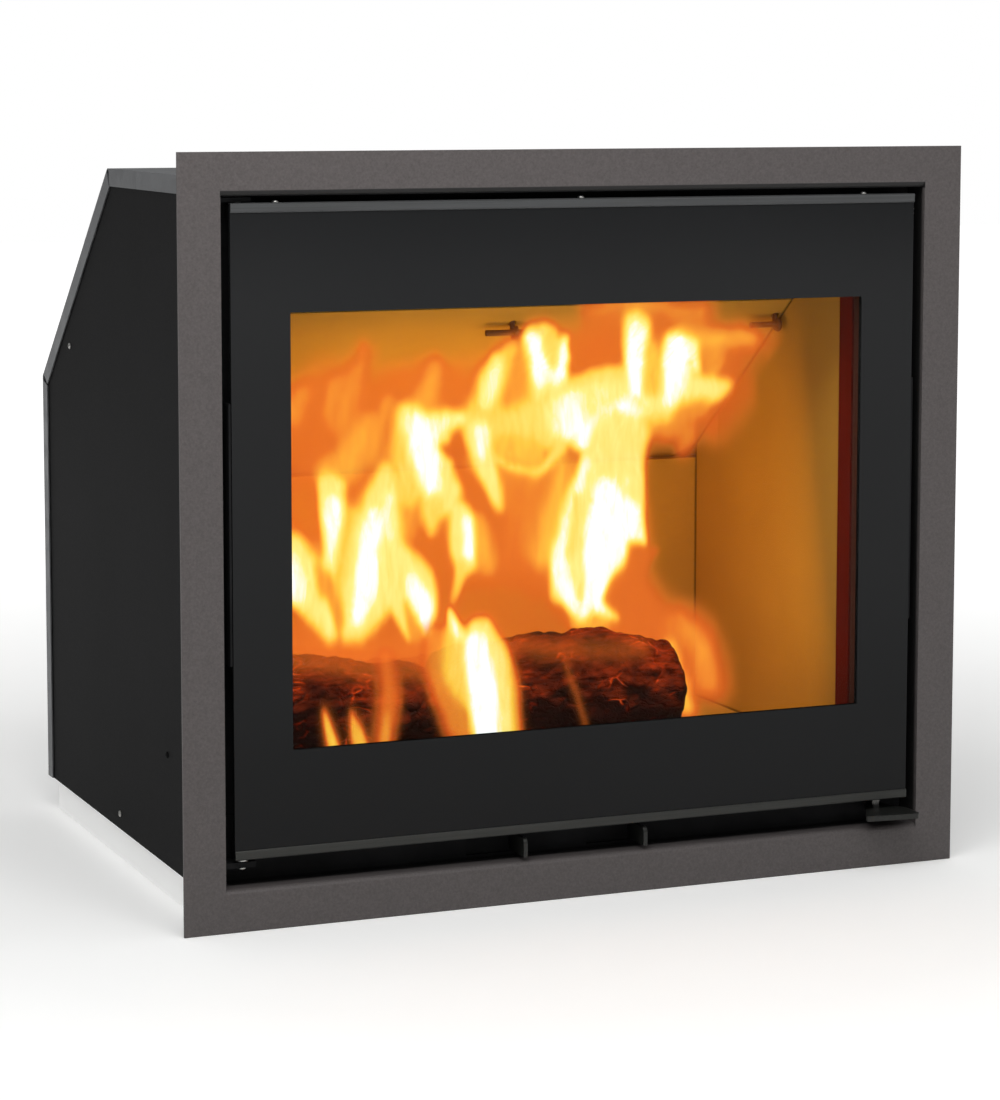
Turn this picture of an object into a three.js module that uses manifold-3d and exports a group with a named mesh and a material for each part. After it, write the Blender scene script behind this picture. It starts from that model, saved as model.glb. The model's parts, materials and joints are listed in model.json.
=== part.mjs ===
// Fireplace insert: a bent sheet casing with a lined steel firebox, a full-glass door hung on the
// left, a latch worked by a tab below the door, two air levers and a flat surround.
// Millimetres. Every size below is measured from the surround: X from its centre line, Y back from
// its front face, Z up from its lower edge. The group is then set down on the casing's underside.
import * as THREE from "three";
import { mergeVertices } from "three/addons/utils/BufferGeometryUtils.js";
import Module from "manifold-3d";

const wasm = await Module();
wasm.setup();

// ---- clearances -------------------------------------------------------------------------------
const FIT = 0.3; // between two pieces that touch
const RUN = 0.15; // radial, between a pin and its hole
const SWING = 2; // between a moving piece and the edge that it passes
const MESH_GRAIN = 0.01; // detail finer than this is merged away after each boolean
const PAST = 5; // how far a cutting body runs past the faces that it cuts

// ---- surround ---------------------------------------------------------------------------------
const SURROUND_W = 600;
const SURROUND_H = 535;
const BORDER = 30;
const SURROUND_T = 2;
const RETURN_DEPTH = 24; // how far the inner edges are folded back
const RETURN_BEND = 5; // outer radius of the upper and lower folds
const BRACKET_T = 2;
const BRACKET_INSET = 67.5; // from the surround's upper and lower edges to the brackets' ends

// ---- casing -----------------------------------------------------------------------------------
const CASING_DEPTH = 428;
const CASING_INSET = 17; // how far the surround stands out past the casing on each side
const CASING_INSET_TOP = 16.8;
const CASING_INSET_BOTTOM = 26.2;
const SHOULDER_Y = 232; // where the slope meets the top
const SLOPE_H = 169.2; // height of the slope that leans forward over the back
const CASING_T = 1;
const FLANGE = 13; // width of the wrap's side flanges
const FLANGE_NOTCH = 1.6; // opening of the mitre notch at each bend
const CASING_BEND = 3;
const TRAY_LIP = 7.5;

// ---- front plate ------------------------------------------------------------------------------
const FRONT_Y = 26;
const FRONT_T = 3;
const MOUTH_INSET = 37.5; // from the door's left and right edges to the mouth
const MOUTH_INSET_BOTTOM = 48.3;
const MOUTH_INSET_TOP = 60.5;
const MOUTH_RETURN = 16; // depth of the mouth's inward fold

// ---- firebox shell and lining -----------------------------------------------------------------
const PLATE_T = 4;
const SHELF_RISE = 24.8; // from the casing's underside to that of the firebox floor plate
const SIDE_BRICK_T = 30;
const FLOOR_BRICK_T = 24.7;
const BACK_BRICK_T = 25;
const BACK_SPACE = 142; // from the front of the back brick to the back of the casing
const BACK_SEAM_LAP = 7.8; // how far the back brick stands up behind the lower baffle's foot
const BAFFLE_T = 25;
const BAFFLE_HEAD_Y = 121;
const BAFFLE_HEAD_DROP = 24; // from the top of the mouth to the lower edge of the baffle's head
const BAFFLE_PITCH = Math.atan(0.774); // from level
const ROOF_DROP = 38.2; // from the casing's top to the underside of the firebox's roof
const ROOF_SET_BACK = 17; // from the firebox's shoulder to the casing's
const UPPER_BAFFLE_DROP = 28; // below the roof
const UPPER_BAFFLE_FRONT_Y = 62;
const UPPER_BAFFLE_DEPTH = 128;
const RAIL_W = 14;
const RAIL_T = 2.5;
const RAIL_PAST_FRONT = 6; // how far a rail runs on past the upper baffle
const RAIL_PAST_BACK = 4;
const HANGER_INSET = 6; // from the side brick to the outer hangers
const HANGER_SET_BACK = 17; // behind the baffle's head
const HANGER_ROD_R = 2;
const HANGER_BAR_R = 2.3;
const HANGER_BAR_LEN = 46;
const HANGER_DROP = 6.5; // from the baffle's underside to the middle of the bar
const HANGER_SLACK = 1; // around the rod where it passes through the baffle
const HANGER_STEPS = 6; // straight pieces in the hook's curve
const HANGER_HOOK_TURN = Math.PI * 1.35; // how far the rod is bent round the bar
const GRATE_W = 119.4;
const GRATE_T = 12;
const GRATE_TO_BACK = 116; // from the middle of the grate to the back brick
const GRATE_SEAT = 5; // how far the grate laps the floor plate
const GRATE_RIM = 5; // from the seat to the ends of the slots
const GRATE_SLOTS = 7;
const GRATE_SLOT_W = 7;
const GUARD_H = 24;
const GUARD_FOOT = 16;
const GUARD_LIP = 7;
const GUARD_T = 3;
const GUARD_BEND = 4;
const GUARD_GAP = 1; // from the guard to the mouth's fold and the side bricks

// ---- flue and combustion air ------------------------------------------------------------------
const FLUE_WALL = 4;
const FLUE_FLANGE_W = 15; // from the bore to the flange's edge
const FLUE_FLANGE_T = 5;
const FLUE_MARGIN = 3; // from the flange to the roof's front edge, were it in the middle
const FLUE_STAND = 11.4; // how far the collar stands above the casing
const AIR_RISE = 68.8; // from the casing's underside to the middle of the rear air inlet
const AIR_BORE_R = 46;
const AIR_WALL = 2;
const AIR_STAND = 12;
const DUCT_T = 1.5;
const REAR_DUCT_W = 124;
const REAR_DUCT_DEPTH = 29;
const REAR_DUCT_DROP = 97; // from the knee in the firebox's back to the duct's closed end
const REAR_DUCT_FLANGE = 12;
const SIDE_DUCT_W = 14;
const SIDE_DUCT_DEPTH = 34;
const SIDE_DUCT_Y = 32;
const SIDE_DUCT_DROP = 2; // below the roof
const SIDE_PORT_DROP = 10; // from the duct's closed end to its port into the firebox
const SIDE_PORT_H = 16;
const WASH_RISE = 8; // upright edge of the air-wash plate
const WASH_SHELF = 23; // its level part
const WASH_TAIL_Y = 7; // where its leaning part ends, behind the front plate
const WASH_CLEAR = 5; // from its lower end to the mouth's fold
const WASH_BEND = 2.5;
const AIR_BOX_T = 2;
const AIR_BOX_SILL = 3; // metal left above and below the way in from the rear duct
const PAN_T = 1.2;
const PAN_GAP = 3; // between the ash pan and the opening that it is lifted through
const PAN_DROP = 2; // from the pan's brim to the floor plate

// ---- air levers -------------------------------------------------------------------------------
const LEVER_X = 47; // each side of the centre line, at rest
const LEVER_T = 3;
const LEVER_SLOT_GAP = 1.2; // above and below a lever in its slot
const LEVER_H = 13.5;
const LEVER_TIP_Y = 0;
const LEVER_RISE = 6.8; // from the casing's underside
const LEVER_ROUND = 4;
const LEVER_TRAVEL = 32;
const SLIDE_T = 2;
const SLIDE_LEN = 48;
const SLIDE_H = 18.6;
const PORT_W = 24;
const PORT_H = 12;
const GUIDE_PAST_RIGHT = 10; // how far the guide runs on past the two slides
const GUIDE_PAST_LEFT = 5;

// ---- door -------------------------------------------------------------------------------------
const DOOR_GAP = 7.5; // from the door to the surround, left and right
const DOOR_GAP_BOTTOM = 19.7;
const DOOR_GAP_TOP = 4.5;
const DOOR_FACE_Y = 1.5; // front of the two trims
const TRIM_T = 1;
const TRIM_H = 6.6;
const TRIM_CAP = 1.2;
const TRIM_BEVEL = 0.7;
const GLASS_T = 4;
const PRINT_INSET = 5; // how far the clear window ends inside the mouth, left and right
const PRINT_INSET_BOTTOM = 25.7;
const PRINT_INSET_TOP = 14.2;
const PRINT_LAP = 5; // how far the printed border reaches past the steel frame's opening
const GLASS_SEAL_T = 2.6;
const GLASS_SEAL_W = 9;
const DOOR_FRAME_T = 2.5;
const DOOR_FRAME_DEPTH = 10;
const DOOR_FRAME_INSET = 4.5; // from the edge of the glass, left and right
const DOOR_SEAL_W = 8;
const DOOR_SEAL_OUT = 1.5; // from the mouth's edge to the seal
const CLIP_T = 1.5;
const CLIP_INSET = 61; // from the window's upper and lower edges to the clip's ends
const CLIP_HOLD = 4; // how far the clip reaches past the door frame's front
const CLIP_NIB = 1; // from the clip's front edge to the face of the glass

// ---- hinge ------------------------------------------------------------------------------------
const HINGE_INSET = 8; // from the door's left edge to the pin
const HINGE_Y = 13.5;
const HINGE_PIN_R = 3;
const HINGE_PIN_HEAD = 1.5; // how far the lower pin stands out below its arm
const HINGE_PIN_SHORT = 1; // how far a pin ends inside its block
const HINGE_ARM_T = 4;
const HINGE_TOP_ARM_T = 3;
const HINGE_COLLAR_R = 5;
const HINGE_METAL = 2.5; // around the pin
const HINGE_BLOCK_H = 10;
const HINGE_BLOCK_PAST = 0.5; // how far the block reaches to the left past that metal
const HINGE_BASE_H = 34;
const HINGE_BASE_T = 2;
const HINGE_BASE_PAST = 3; // how far the base reaches to the right past the metal round the pin
const HINGE_DROP = 2.7; // from the door to the lower arm
const HINGE_RISE = 0.5; // from the door to the upper arm

// ---- latch ------------------------------------------------------------------------------------
const SHAFT_INSET = 17; // from the door's right edge
const SHAFT_Y = 18;
const SHAFT_R = 3.5;
const SHAFT_PAST = 34; // how far the shaft runs on above the upper hook
const SHAFT_TIP = 2; // and below the handle
const HOOK_HUB_R = 5.2;
const HOOK_H = 6;
const HOOK_INSET_BOTTOM = 100.3; // from the door's lower edge to the middle of the lower hook
const HOOK_INSET_TOP = 100.5;
const HOOK_REACH = 9; // from the shaft to the finger's tip
const HOOK_FINGER_T = 3;
const HOOK_ARM_W = 6;
const HOOK_NOSE = 1; // bevel on the finger
const HOOK_GAP = 0.4; // from the finger to the front plate
const LATCH_TURN = Math.PI * (26 / 180); // the shaft's turn from released to latched
const CATCH_LEFT = 9.7; // from the shaft to the left end of the catch slot
const CATCH_RIGHT = 5;
const CATCH_H = 14;
const SHAFT_LUG_H = 6;
const BEARING_LUG = 2.5; // metal around the shaft in its two bearings
const BEARING_H = 9;
const BEARING_RISE = 18; // from the middle of the upper hook to the bearing above it
const BEARING_GAP = 1; // from the bearing to the door's seal
const HANDLE_T = 4;
const HANDLE_DROP = 11.1; // from the door to the handle's underside
const HANDLE_FRONT_Y = -21;
const HANDLE_SKEW = 4; // how much less the front edge stands out at its left end
const HANDLE_NECK_Y = -2; // where the right-hand edge turns in towards the hub
const HANDLE_TIP_OUT = 16.5; // from the shaft to the handle's right-hand edge
const HANDLE_TIP_IN = 25.5; // and to its left-hand one
const HANDLE_ROUND = 3;
const HANDLE_HUB = 3.8; // metal around the shaft

// ---- places worked out from the sizes above ---------------------------------------------------
const openingHalf = SURROUND_W / 2 - BORDER;
const openingBottom = BORDER;
const openingTop = SURROUND_H - BORDER;
const bodyFrontY = SURROUND_T + FIT;

const casingHalf = SURROUND_W / 2 - CASING_INSET;
const casingBaseZ = CASING_INSET_BOTTOM;
const casingTopZ = SURROUND_H - CASING_INSET_TOP;
const kneeZ = casingTopZ - SLOPE_H;
const casingRise = SLOPE_H / (CASING_DEPTH - SHOULDER_Y);
const panelOuter = casingHalf - CASING_T - FIT;
const panelInner = panelOuter - CASING_T;
const insideHalf = panelInner - FIT; // what stands between the two side panels
const trayTopZ = casingBaseZ + CASING_T;
const casingPath = [
  [CASING_DEPTH, casingBaseZ],
  [CASING_DEPTH, kneeZ],
  [SHOULDER_Y, casingTopZ],
  [bodyFrontY, casingTopZ],
];

const doorHalf = openingHalf - DOOR_GAP;
const doorBottomZ = openingBottom + DOOR_GAP_BOTTOM;
const doorTopZ = openingTop - DOOR_GAP_TOP;
const glassY = DOOR_FACE_Y + TRIM_T + FIT;
const glassBackY = glassY + GLASS_T;
const glassBottom = doorBottomZ + TRIM_CAP + FIT;
const glassTop = doorTopZ - TRIM_CAP - FIT;
const doorFrameY = glassBackY + GLASS_SEAL_T + 2 * FIT;
const doorPlateBackY = doorFrameY + DOOR_FRAME_T;
const doorFrameHalf = doorHalf - DOOR_FRAME_INSET;

const frontBackY = FRONT_Y + FRONT_T;
const mouthHalf = doorHalf - MOUTH_INSET;
const mouthBottomZ = doorBottomZ + MOUTH_INSET_BOTTOM;
const mouthTopZ = doorTopZ - MOUTH_INSET_TOP;
const windowBottomZ = mouthBottomZ + PRINT_INSET_BOTTOM;
const windowTopZ = mouthTopZ - PRINT_INSET_TOP;
const windowFrame = {
  half: mouthHalf - PRINT_INSET + PRINT_LAP,
  bottom: windowBottomZ - PRINT_LAP,
  top: windowTopZ + PRINT_LAP,
};

const brickFrontY = frontBackY + MOUTH_RETURN + FIT;
const brickTopZ = mouthTopZ - FIT;
const sideInner = mouthHalf + SIDE_BRICK_T + FIT; // inner face of the firebox side plates
const sideOuter = sideInner + PLATE_T;
const liningHalf = sideInner - FIT;
const shelfZ = casingBaseZ + SHELF_RISE;
const floorTopZ = shelfZ + PLATE_T;
const brickBaseZ = floorTopZ + FIT;
const fireFloorZ = brickBaseZ + FLOOR_BRICK_T;
const fireBackY = CASING_DEPTH - BACK_SPACE;
const backPlateY = fireBackY + BACK_BRICK_T + FIT;
const fireboxBackY = backPlateY + PLATE_T;
const roofZ = casingTopZ - ROOF_DROP;
const roofBackY = SHOULDER_Y - ROOF_SET_BACK;
const fireboxKneeZ = roofZ - (backPlateY - roofBackY) * casingRise;
const upperBaffleZ = roofZ - UPPER_BAFFLE_DROP;
const grateY = fireBackY - GRATE_TO_BACK;

const flueFlangeR = (roofBackY - frontBackY) / 2 - FLUE_MARGIN;
const flueBoreR = flueFlangeR - FLUE_FLANGE_W;
const flueY = roofBackY - flueFlangeR;
const airZ = casingBaseZ + AIR_RISE;
const ductOuter = sideOuter + FIT + SIDE_DUCT_W;
const sideDuctTopZ = roofZ - SIDE_DUCT_DROP;
const rearDuctTopZ = fireboxKneeZ - REAR_DUCT_DROP;
const leverZ = casingBaseZ + LEVER_RISE;

const hingeX = -doorHalf + HINGE_INSET;
const shaftX = doorHalf - SHAFT_INSET;
const handleZ = doorBottomZ - HANDLE_DROP;
const hookZs = { bottom: doorBottomZ + HOOK_INSET_BOTTOM, top: doorTopZ - HOOK_INSET_TOP };

// ---- geometry helpers -------------------------------------------------------------------------
function box(x0, x1, y0, y1, z0, z1) {
  const made = new THREE.BoxGeometry(x1 - x0, y1 - y0, z1 - z0);
  return made.translate((x0 + x1) / 2, (y0 + y1) / 2, (z0 + z1) / 2);
}

function outline(points) {
  return new THREE.Shape(points.map(([u, v]) => new THREE.Vector2(u, v)));
}

function rectangle(u0, u1, v0, v1) {
  return outline([[u0, v0], [u1, v0], [u1, v1], [u0, v1]]);
}

function withHole(shape, points) {
  shape.holes.push(new THREE.Path(points.map(([u, v]) => new THREE.Vector2(u, v))));
  return shape;
}

function extruded(shape, depth) {
  return new THREE.ExtrudeGeometry(shape, { depth, bevelEnabled: false, curveSegments: 6 });
}

// A shape drawn in Y and Z, drawn out along X.
function alongX(shape, x0, x1) {
  const axes = new THREE.Matrix4().makeBasis(
    new THREE.Vector3(0, 1, 0),
    new THREE.Vector3(0, 0, 1),
    new THREE.Vector3(1, 0, 0),
  );
  return extruded(shape, x1 - x0).applyMatrix4(axes).translate(x0, 0, 0);
}

// A shape drawn in X and Z, drawn out along Y.
function alongY(shape, y0, y1) {
  return extruded(shape, y1 - y0).rotateX(Math.PI / 2).translate(0, y1, 0);
}

// A shape drawn in X and Y, drawn out along Z.
function alongZ(shape, z0, z1) {
  return extruded(shape, z1 - z0).translate(0, 0, z0);
}

function rodZ(x, y, radius, z0, z1, sides = 24) {
  const rod = new THREE.CylinderGeometry(radius, radius, z1 - z0, sides);
  return rod.rotateX(Math.PI / 2).translate(x, y, (z0 + z1) / 2);
}

function rodX(y, z, radius, x0, x1, sides = 8) {
  const rod = new THREE.CylinderGeometry(radius, radius, x1 - x0, sides);
  return rod.rotateZ(Math.PI / 2).translate((x0 + x1) / 2, y, z);
}

function rodY(x, z, radius, y0, y1, sides = 32) {
  return new THREE.CylinderGeometry(radius, radius, y1 - y0, sides).translate(x, (y0 + y1) / 2, z);
}

// A profile of radius and height turned about the vertical through x and y.
function turned(profile, x, y, sides) {
  const points = profile.map(([r, z]) => new THREE.Vector2(r, z));
  points.push(points[0].clone());
  return new THREE.LatheGeometry(points, sides).rotateX(Math.PI / 2).translate(x, y, 0);
}

function mirroredX(geometry) {
  const made = geometry.clone().scale(-1, 1, 1);
  const order = made.index ? made.index.array : null;
  const count = order ? order.length : made.attributes.position.count;
  const turnedOrder = Array.from({ length: count }, (_, i) => (order ? order[i] : i));
  for (let i = 0; i < count; i += 3) {
    [turnedOrder[i + 1], turnedOrder[i + 2]] = [turnedOrder[i + 2], turnedOrder[i + 1]];
  }
  made.setIndex(turnedOrder);
  return made;
}

function solid(geometry) {
  const bare = geometry.clone();
  bare.deleteAttribute("normal");
  bare.deleteAttribute("uv");
  const merged = mergeVertices(bare, 1e-4);
  return new wasm.Manifold(
    new wasm.Mesh({
      numProp: 3,
      vertProperties: merged.attributes.position.array,
      triVerts: new Uint32Array(merged.index.array),
    }),
  );
}

// A boolean leaves pairs of corners a few micrometres apart. They are welded, and the triangles
// that close up with them are dropped.
function geometryOf(manifold) {
  const mesh = manifold.getMesh();
  const raw = new THREE.BufferGeometry();
  raw.setAttribute("position", new THREE.BufferAttribute(mesh.vertProperties, 3));
  raw.setIndex(new THREE.BufferAttribute(mesh.triVerts, 1));
  const made = mergeVertices(raw, MESH_GRAIN);
  const order = Array.from(made.index.array);
  const kept = [];
  for (let i = 0; i < order.length; i += 3) {
    const corners = order.slice(i, i + 3);
    if (new Set(corners).size === 3) kept.push(...corners);
  }
  made.setIndex(kept);
  return made;
}

function joined(...geometries) {
  return geometryOf(geometries.map(solid).reduce((sum, next) => sum.add(next)));
}

function cut(geometry, ...tools) {
  return geometryOf(tools.map(solid).reduce((left, tool) => left.subtract(tool), solid(geometry)));
}

// The points of a line with its inner corners rounded.
function roundedLine(points, radius, steps = 4) {
  const line = [points[0]];
  for (let i = 1; i < points.length - 1; i += 1) {
    const corner = new THREE.Vector2(...points[i]);
    const before = new THREE.Vector2(...points[i - 1]).sub(corner).normalize();
    const after = new THREE.Vector2(...points[i + 1]).sub(corner).normalize();
    const half = before.angleTo(after) / 2;
    const run = radius / Math.tan(half);
    const start = corner.clone().addScaledVector(before, run);
    const end = corner.clone().addScaledVector(after, run);
    const bend = new THREE.QuadraticBezierCurve(start, corner, end);
    line.push(...bend.getPoints(steps).map((p) => [p.x, p.y]));
  }
  line.push(points[points.length - 1]);
  return line;
}

// A line moved sideways: positive moves it to the left of its own direction.
function offsetLine(points, distance) {
  const directions = points.slice(1).map(([u, v], i) => {
    return new THREE.Vector2(u - points[i][0], v - points[i][1]).normalize();
  });
  return points.map(([u, v], i) => {
    const a = directions[Math.max(i - 1, 0)];
    const b = directions[Math.min(i, directions.length - 1)];
    const normal = new THREE.Vector2(-a.y - b.y, a.x + b.x).normalize();
    const reach = distance / normal.dot(new THREE.Vector2(-a.y, a.x));
    return [u + normal.x * reach, v + normal.y * reach];
  });
}

// A bent sheet seen edge on: a line with sharp corners, its thickness to the left of the line.
function bentSheet(points, thickness, bend) {
  const outer = roundedLine(points, bend);
  const inner = roundedLine(offsetLine(points, thickness), Math.max(bend - thickness, 0.4));
  return outline([...outer, ...inner.reverse()]);
}

// A rectangular ring in X and Z, from an inner half-width and two heights out by a width.
function ring(half, bottom, top, width) {
  const outer = rectangle(-half - width, half + width, bottom - width, top + width);
  return withHole(outer, [[-half, bottom], [-half, top], [half, top], [half, bottom]]);
}

// ---- surround ---------------------------------------------------------------------------------
function foldedEdge(z, up) {
  const reach = (d) => z + up * d;
  const profile = [
    [RETURN_DEPTH, reach(0)],
    [0, reach(0)],
    [0, reach(RETURN_BEND + 1)],
  ];
  return alongX(bentSheet(profile, up * -SURROUND_T, RETURN_BEND), -openingHalf, openingHalf);
}

function surroundFrame() {
  const half = SURROUND_W / 2;
  const face = rectangle(-half, half, 0, SURROUND_H);
  const low = openingBottom - RETURN_BEND;
  const high = openingTop + RETURN_BEND;
  withHole(face, [[-openingHalf, low], [-openingHalf, high], [openingHalf, high], [openingHalf, low]]);
  const sides = [-1, 1].map((side) => {
    const x = side * (openingHalf + SURROUND_T / 2);
    const t = SURROUND_T / 2;
    return box(x - t, x + t, 0, RETURN_DEPTH, openingBottom - SURROUND_T, openingTop + SURROUND_T);
  });
  const plate = alongY(face, 0, SURROUND_T);
  return joined(plate, ...sides, foldedEdge(openingTop, 1), foldedEdge(openingBottom, -1));
}

// An angle behind the surround, screwed to the inside of a side panel.
function frameBracket() {
  const z0 = BRACKET_INSET;
  const z1 = SURROUND_H - BRACKET_INSET;
  const x0 = openingHalf + SURROUND_T + FIT;
  const x1 = insideHalf;
  const leg = box(x1 - BRACKET_T, x1, bodyFrontY, FRONT_Y - FIT, z0, z1);
  return joined(box(x0, x1, bodyFrontY, bodyFrontY + BRACKET_T, z0, z1), leg);
}

// ---- casing -----------------------------------------------------------------------------------
// One sheet bent over the back, the slope and the top. A flange on each side is folded over the
// side panel and opened by a mitre notch at each bend.
function casingWrap() {
  const path = casingPath.map((p) => [...p]);
  path[0][1] = casingBaseZ + TRAY_LIP + FIT;
  const inner = offsetLine(path, FLANGE);
  const sheet = alongX(bentSheet(path, CASING_T, CASING_BEND), -casingHalf, casingHalf);
  const flanges = [];
  for (let i = 0; i < path.length - 1; i += 1) {
    const along = new THREE.Vector2(path[i + 1][0] - path[i][0], path[i + 1][1] - path[i][1]).normalize();
    const startGap = i === 0 ? 0 : FLANGE_NOTCH / 2;
    const endGap = i === path.length - 2 ? 0 : FLANGE_NOTCH / 2;
    const startBend = startGap && CASING_BEND;
    const endBend = endGap && CASING_BEND;
    const shape = outline([
      [path[i][0] + along.x * startBend, path[i][1] + along.y * startBend],
      [path[i + 1][0] - along.x * endBend, path[i + 1][1] - along.y * endBend],
      [inner[i + 1][0] - along.x * endGap, inner[i + 1][1] - along.y * endGap],
      [inner[i][0] + along.x * startGap, inner[i][1] + along.y * startGap],
    ]);
    flanges.push(alongX(shape, casingHalf - CASING_T, casingHalf));
    flanges.push(alongX(shape, -casingHalf, -casingHalf + CASING_T));
  }
  const flueHole = rodZ(0, flueY, flueBoreR + FLUE_WALL + FIT, casingTopZ - PAST, casingTopZ + PAST, 48);
  const airHole = rodY(0, airZ, AIR_BORE_R + AIR_WALL + FIT, CASING_DEPTH - PAST, CASING_DEPTH + PAST, 40);
  return cut(joined(sheet, ...flanges), flueHole, airHole);
}

function casingSide() {
  const inset = offsetLine(casingPath, CASING_T + FIT);
  inset[0][1] = casingBaseZ;
  const shape = outline([...inset, [bodyFrontY, casingBaseZ]]);
  return alongX(shape, panelInner, panelOuter);
}

// The floor sheet. Its rear lip closes the back below the wrap and laps round both corners.
function casingBase() {
  const top = casingBaseZ + TRAY_LIP;
  const frontY = RETURN_BEND + SURROUND_T + FIT;
  const floor = box(
    -insideHalf, insideHalf,
    frontY, CASING_DEPTH - CASING_T / 2,
    casingBaseZ, trayTopZ,
  );
  const rear = alongZ(
    outline([
      [-casingHalf, CASING_DEPTH - FLANGE],
      [-casingHalf + CASING_T, CASING_DEPTH - FLANGE],
      [-casingHalf + CASING_T, CASING_DEPTH - CASING_T],
      [casingHalf - CASING_T, CASING_DEPTH - CASING_T],
      [casingHalf - CASING_T, CASING_DEPTH - FLANGE],
      [casingHalf, CASING_DEPTH - FLANGE],
      [casingHalf, CASING_DEPTH],
      [-casingHalf, CASING_DEPTH],
    ]),
    casingBaseZ,
    top,
  );
  const lips = [-1, 1].map((side) => {
    const x = side * (insideHalf - CASING_T / 2);
    const t = CASING_T / 2;
    return box(x - t, x + t, frontBackY + FIT, CASING_DEPTH - CASING_T / 2, casingBaseZ, top);
  });
  return joined(floor, rear, ...lips);
}

// ---- front plate ------------------------------------------------------------------------------
function leverX(side) {
  return side * LEVER_X;
}

const slotZ = [leverZ - LEVER_SLOT_GAP, leverZ + LEVER_H + LEVER_SLOT_GAP];

function frontPlate() {
  const sheet = rectangle(-insideHalf, insideHalf, trayTopZ + FIT, casingTopZ - CASING_T - FIT);
  const plate = alongY(sheet, FRONT_Y, frontBackY);
  const fold = alongY(
    ring(mouthHalf, mouthBottomZ, mouthTopZ, FRONT_T),
    FRONT_Y + FRONT_T / 2,
    frontBackY + MOUTH_RETURN,
  );
  const through = [FRONT_Y - PAST, frontBackY + PAST];
  const mouth = box(-mouthHalf, mouthHalf, FRONT_Y - PAST, brickFrontY + PAST, mouthBottomZ, mouthTopZ);
  const slots = [-1, 1].map((side) => {
    const right = leverX(side) + LEVER_T / 2 + SWING;
    const left = leverX(side) - LEVER_TRAVEL - LEVER_T / 2 - SWING;
    return box(left, right, ...through, slotZ[0], slotZ[1]);
  });
  const catches = Object.values(hookZs).map((z) => {
    return box(shaftX - CATCH_LEFT, shaftX + CATCH_RIGHT, ...through, z - CATCH_H / 2, z + CATCH_H / 2);
  });
  return cut(joined(plate, fold), mouth, ...slots, ...catches);
}

// ---- firebox shell ----------------------------------------------------------------------------
function fireboxSide() {
  const slopeOuter = offsetLine(
    [[backPlateY, shelfZ], [backPlateY, fireboxKneeZ], [roofBackY, roofZ], [frontBackY, roofZ]],
    -PLATE_T,
  );
  slopeOuter[0][1] = brickBaseZ;
  slopeOuter[3][0] = frontBackY + FIT;
  const shape = outline([...slopeOuter, [frontBackY + FIT, brickBaseZ]]);
  const portTop = sideDuctTopZ - SIDE_PORT_DROP;
  const port = box(
    sideInner - PAST, sideOuter + PAST,
    SIDE_DUCT_Y + DUCT_T, SIDE_DUCT_Y + SIDE_DUCT_DEPTH / 2,
    portTop - SIDE_PORT_H, portTop,
  );
  return cut(alongX(shape, sideInner, sideOuter), port);
}

function fireboxFloor() {
  const plate = box(-ductOuter, ductOuter, frontBackY + FIT, fireboxBackY, shelfZ, floorTopZ);
  const seat = GRATE_W / 2 - GRATE_SEAT;
  const grateHole = box(-seat, seat, grateY - seat, grateY + seat, shelfZ - PAST, floorTopZ + PAST);
  const ductHoles = [-1, 1].map((side) => {
    const a = side * (sideOuter + FIT + DUCT_T);
    const b = side * (ductOuter - 2 * DUCT_T);
    return box(
      Math.min(a, b), Math.max(a, b),
      SIDE_DUCT_Y + DUCT_T, SIDE_DUCT_Y + SIDE_DUCT_DEPTH - DUCT_T,
      shelfZ - PAST, floorTopZ + PAST,
    );
  });
  return cut(plate, grateHole, ...ductHoles);
}

function fireboxBack() {
  return box(-liningHalf, liningHalf, backPlateY, fireboxBackY, brickBaseZ, fireboxKneeZ - FIT);
}

// A plate between the sides that follows two points of the shell.
function shellPlate(a, b) {
  const line = [a, b];
  const outer = offsetLine(line, -PLATE_T);
  return outline([line[0], line[1], outer[1], outer[0]]);
}

function fireboxSlope() {
  const low = [backPlateY, fireboxKneeZ];
  const high = [roofBackY + FIT, roofZ - FIT * casingRise];
  return alongX(shellPlate(low, high), -liningHalf, liningHalf);
}

function fireboxTop() {
  const back = roofBackY - FIT;
  const plate = box(-liningHalf, liningHalf, frontBackY + FIT, back, roofZ, roofZ + PLATE_T);
  const hole = rodZ(0, flueY, flueBoreR, roofZ - PAST, roofZ + PLATE_T + PAST, 48);
  return cut(plate, hole);
}

// ---- lining and baffles -----------------------------------------------------------------------
const baffleTan = Math.tan(BAFFLE_PITCH);
const baffleHeadZ = mouthTopZ - BAFFLE_HEAD_DROP;
const hangerY = BAFFLE_HEAD_Y + HANGER_SET_BACK;
const hangerPlaces = { left: HANGER_INSET - mouthHalf, centre: 0, right: mouthHalf - HANGER_INSET };

function baffleUnderZ(y) {
  return baffleHeadZ + (BAFFLE_HEAD_Y - y) * baffleTan;
}

function baffleUnderY(z) {
  return BAFFLE_HEAD_Y + (baffleHeadZ - z) / baffleTan;
}

const backSeamZ = baffleUnderZ(backPlateY) + BACK_SEAM_LAP;

function sideBrick() {
  const drop = FIT / Math.cos(BAFFLE_PITCH);
  const back = fireBackY - FIT;
  const shape = outline([
    [brickFrontY, brickBaseZ],
    [back, brickBaseZ],
    [back, baffleUnderZ(back) - drop],
    [baffleUnderY(brickTopZ + drop), brickTopZ],
    [brickFrontY, brickTopZ],
  ]);
  return alongX(shape, mouthHalf, liningHalf);
}

function backBrick() {
  return box(-liningHalf, liningHalf, fireBackY, backPlateY - FIT, brickBaseZ, backSeamZ);
}

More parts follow.
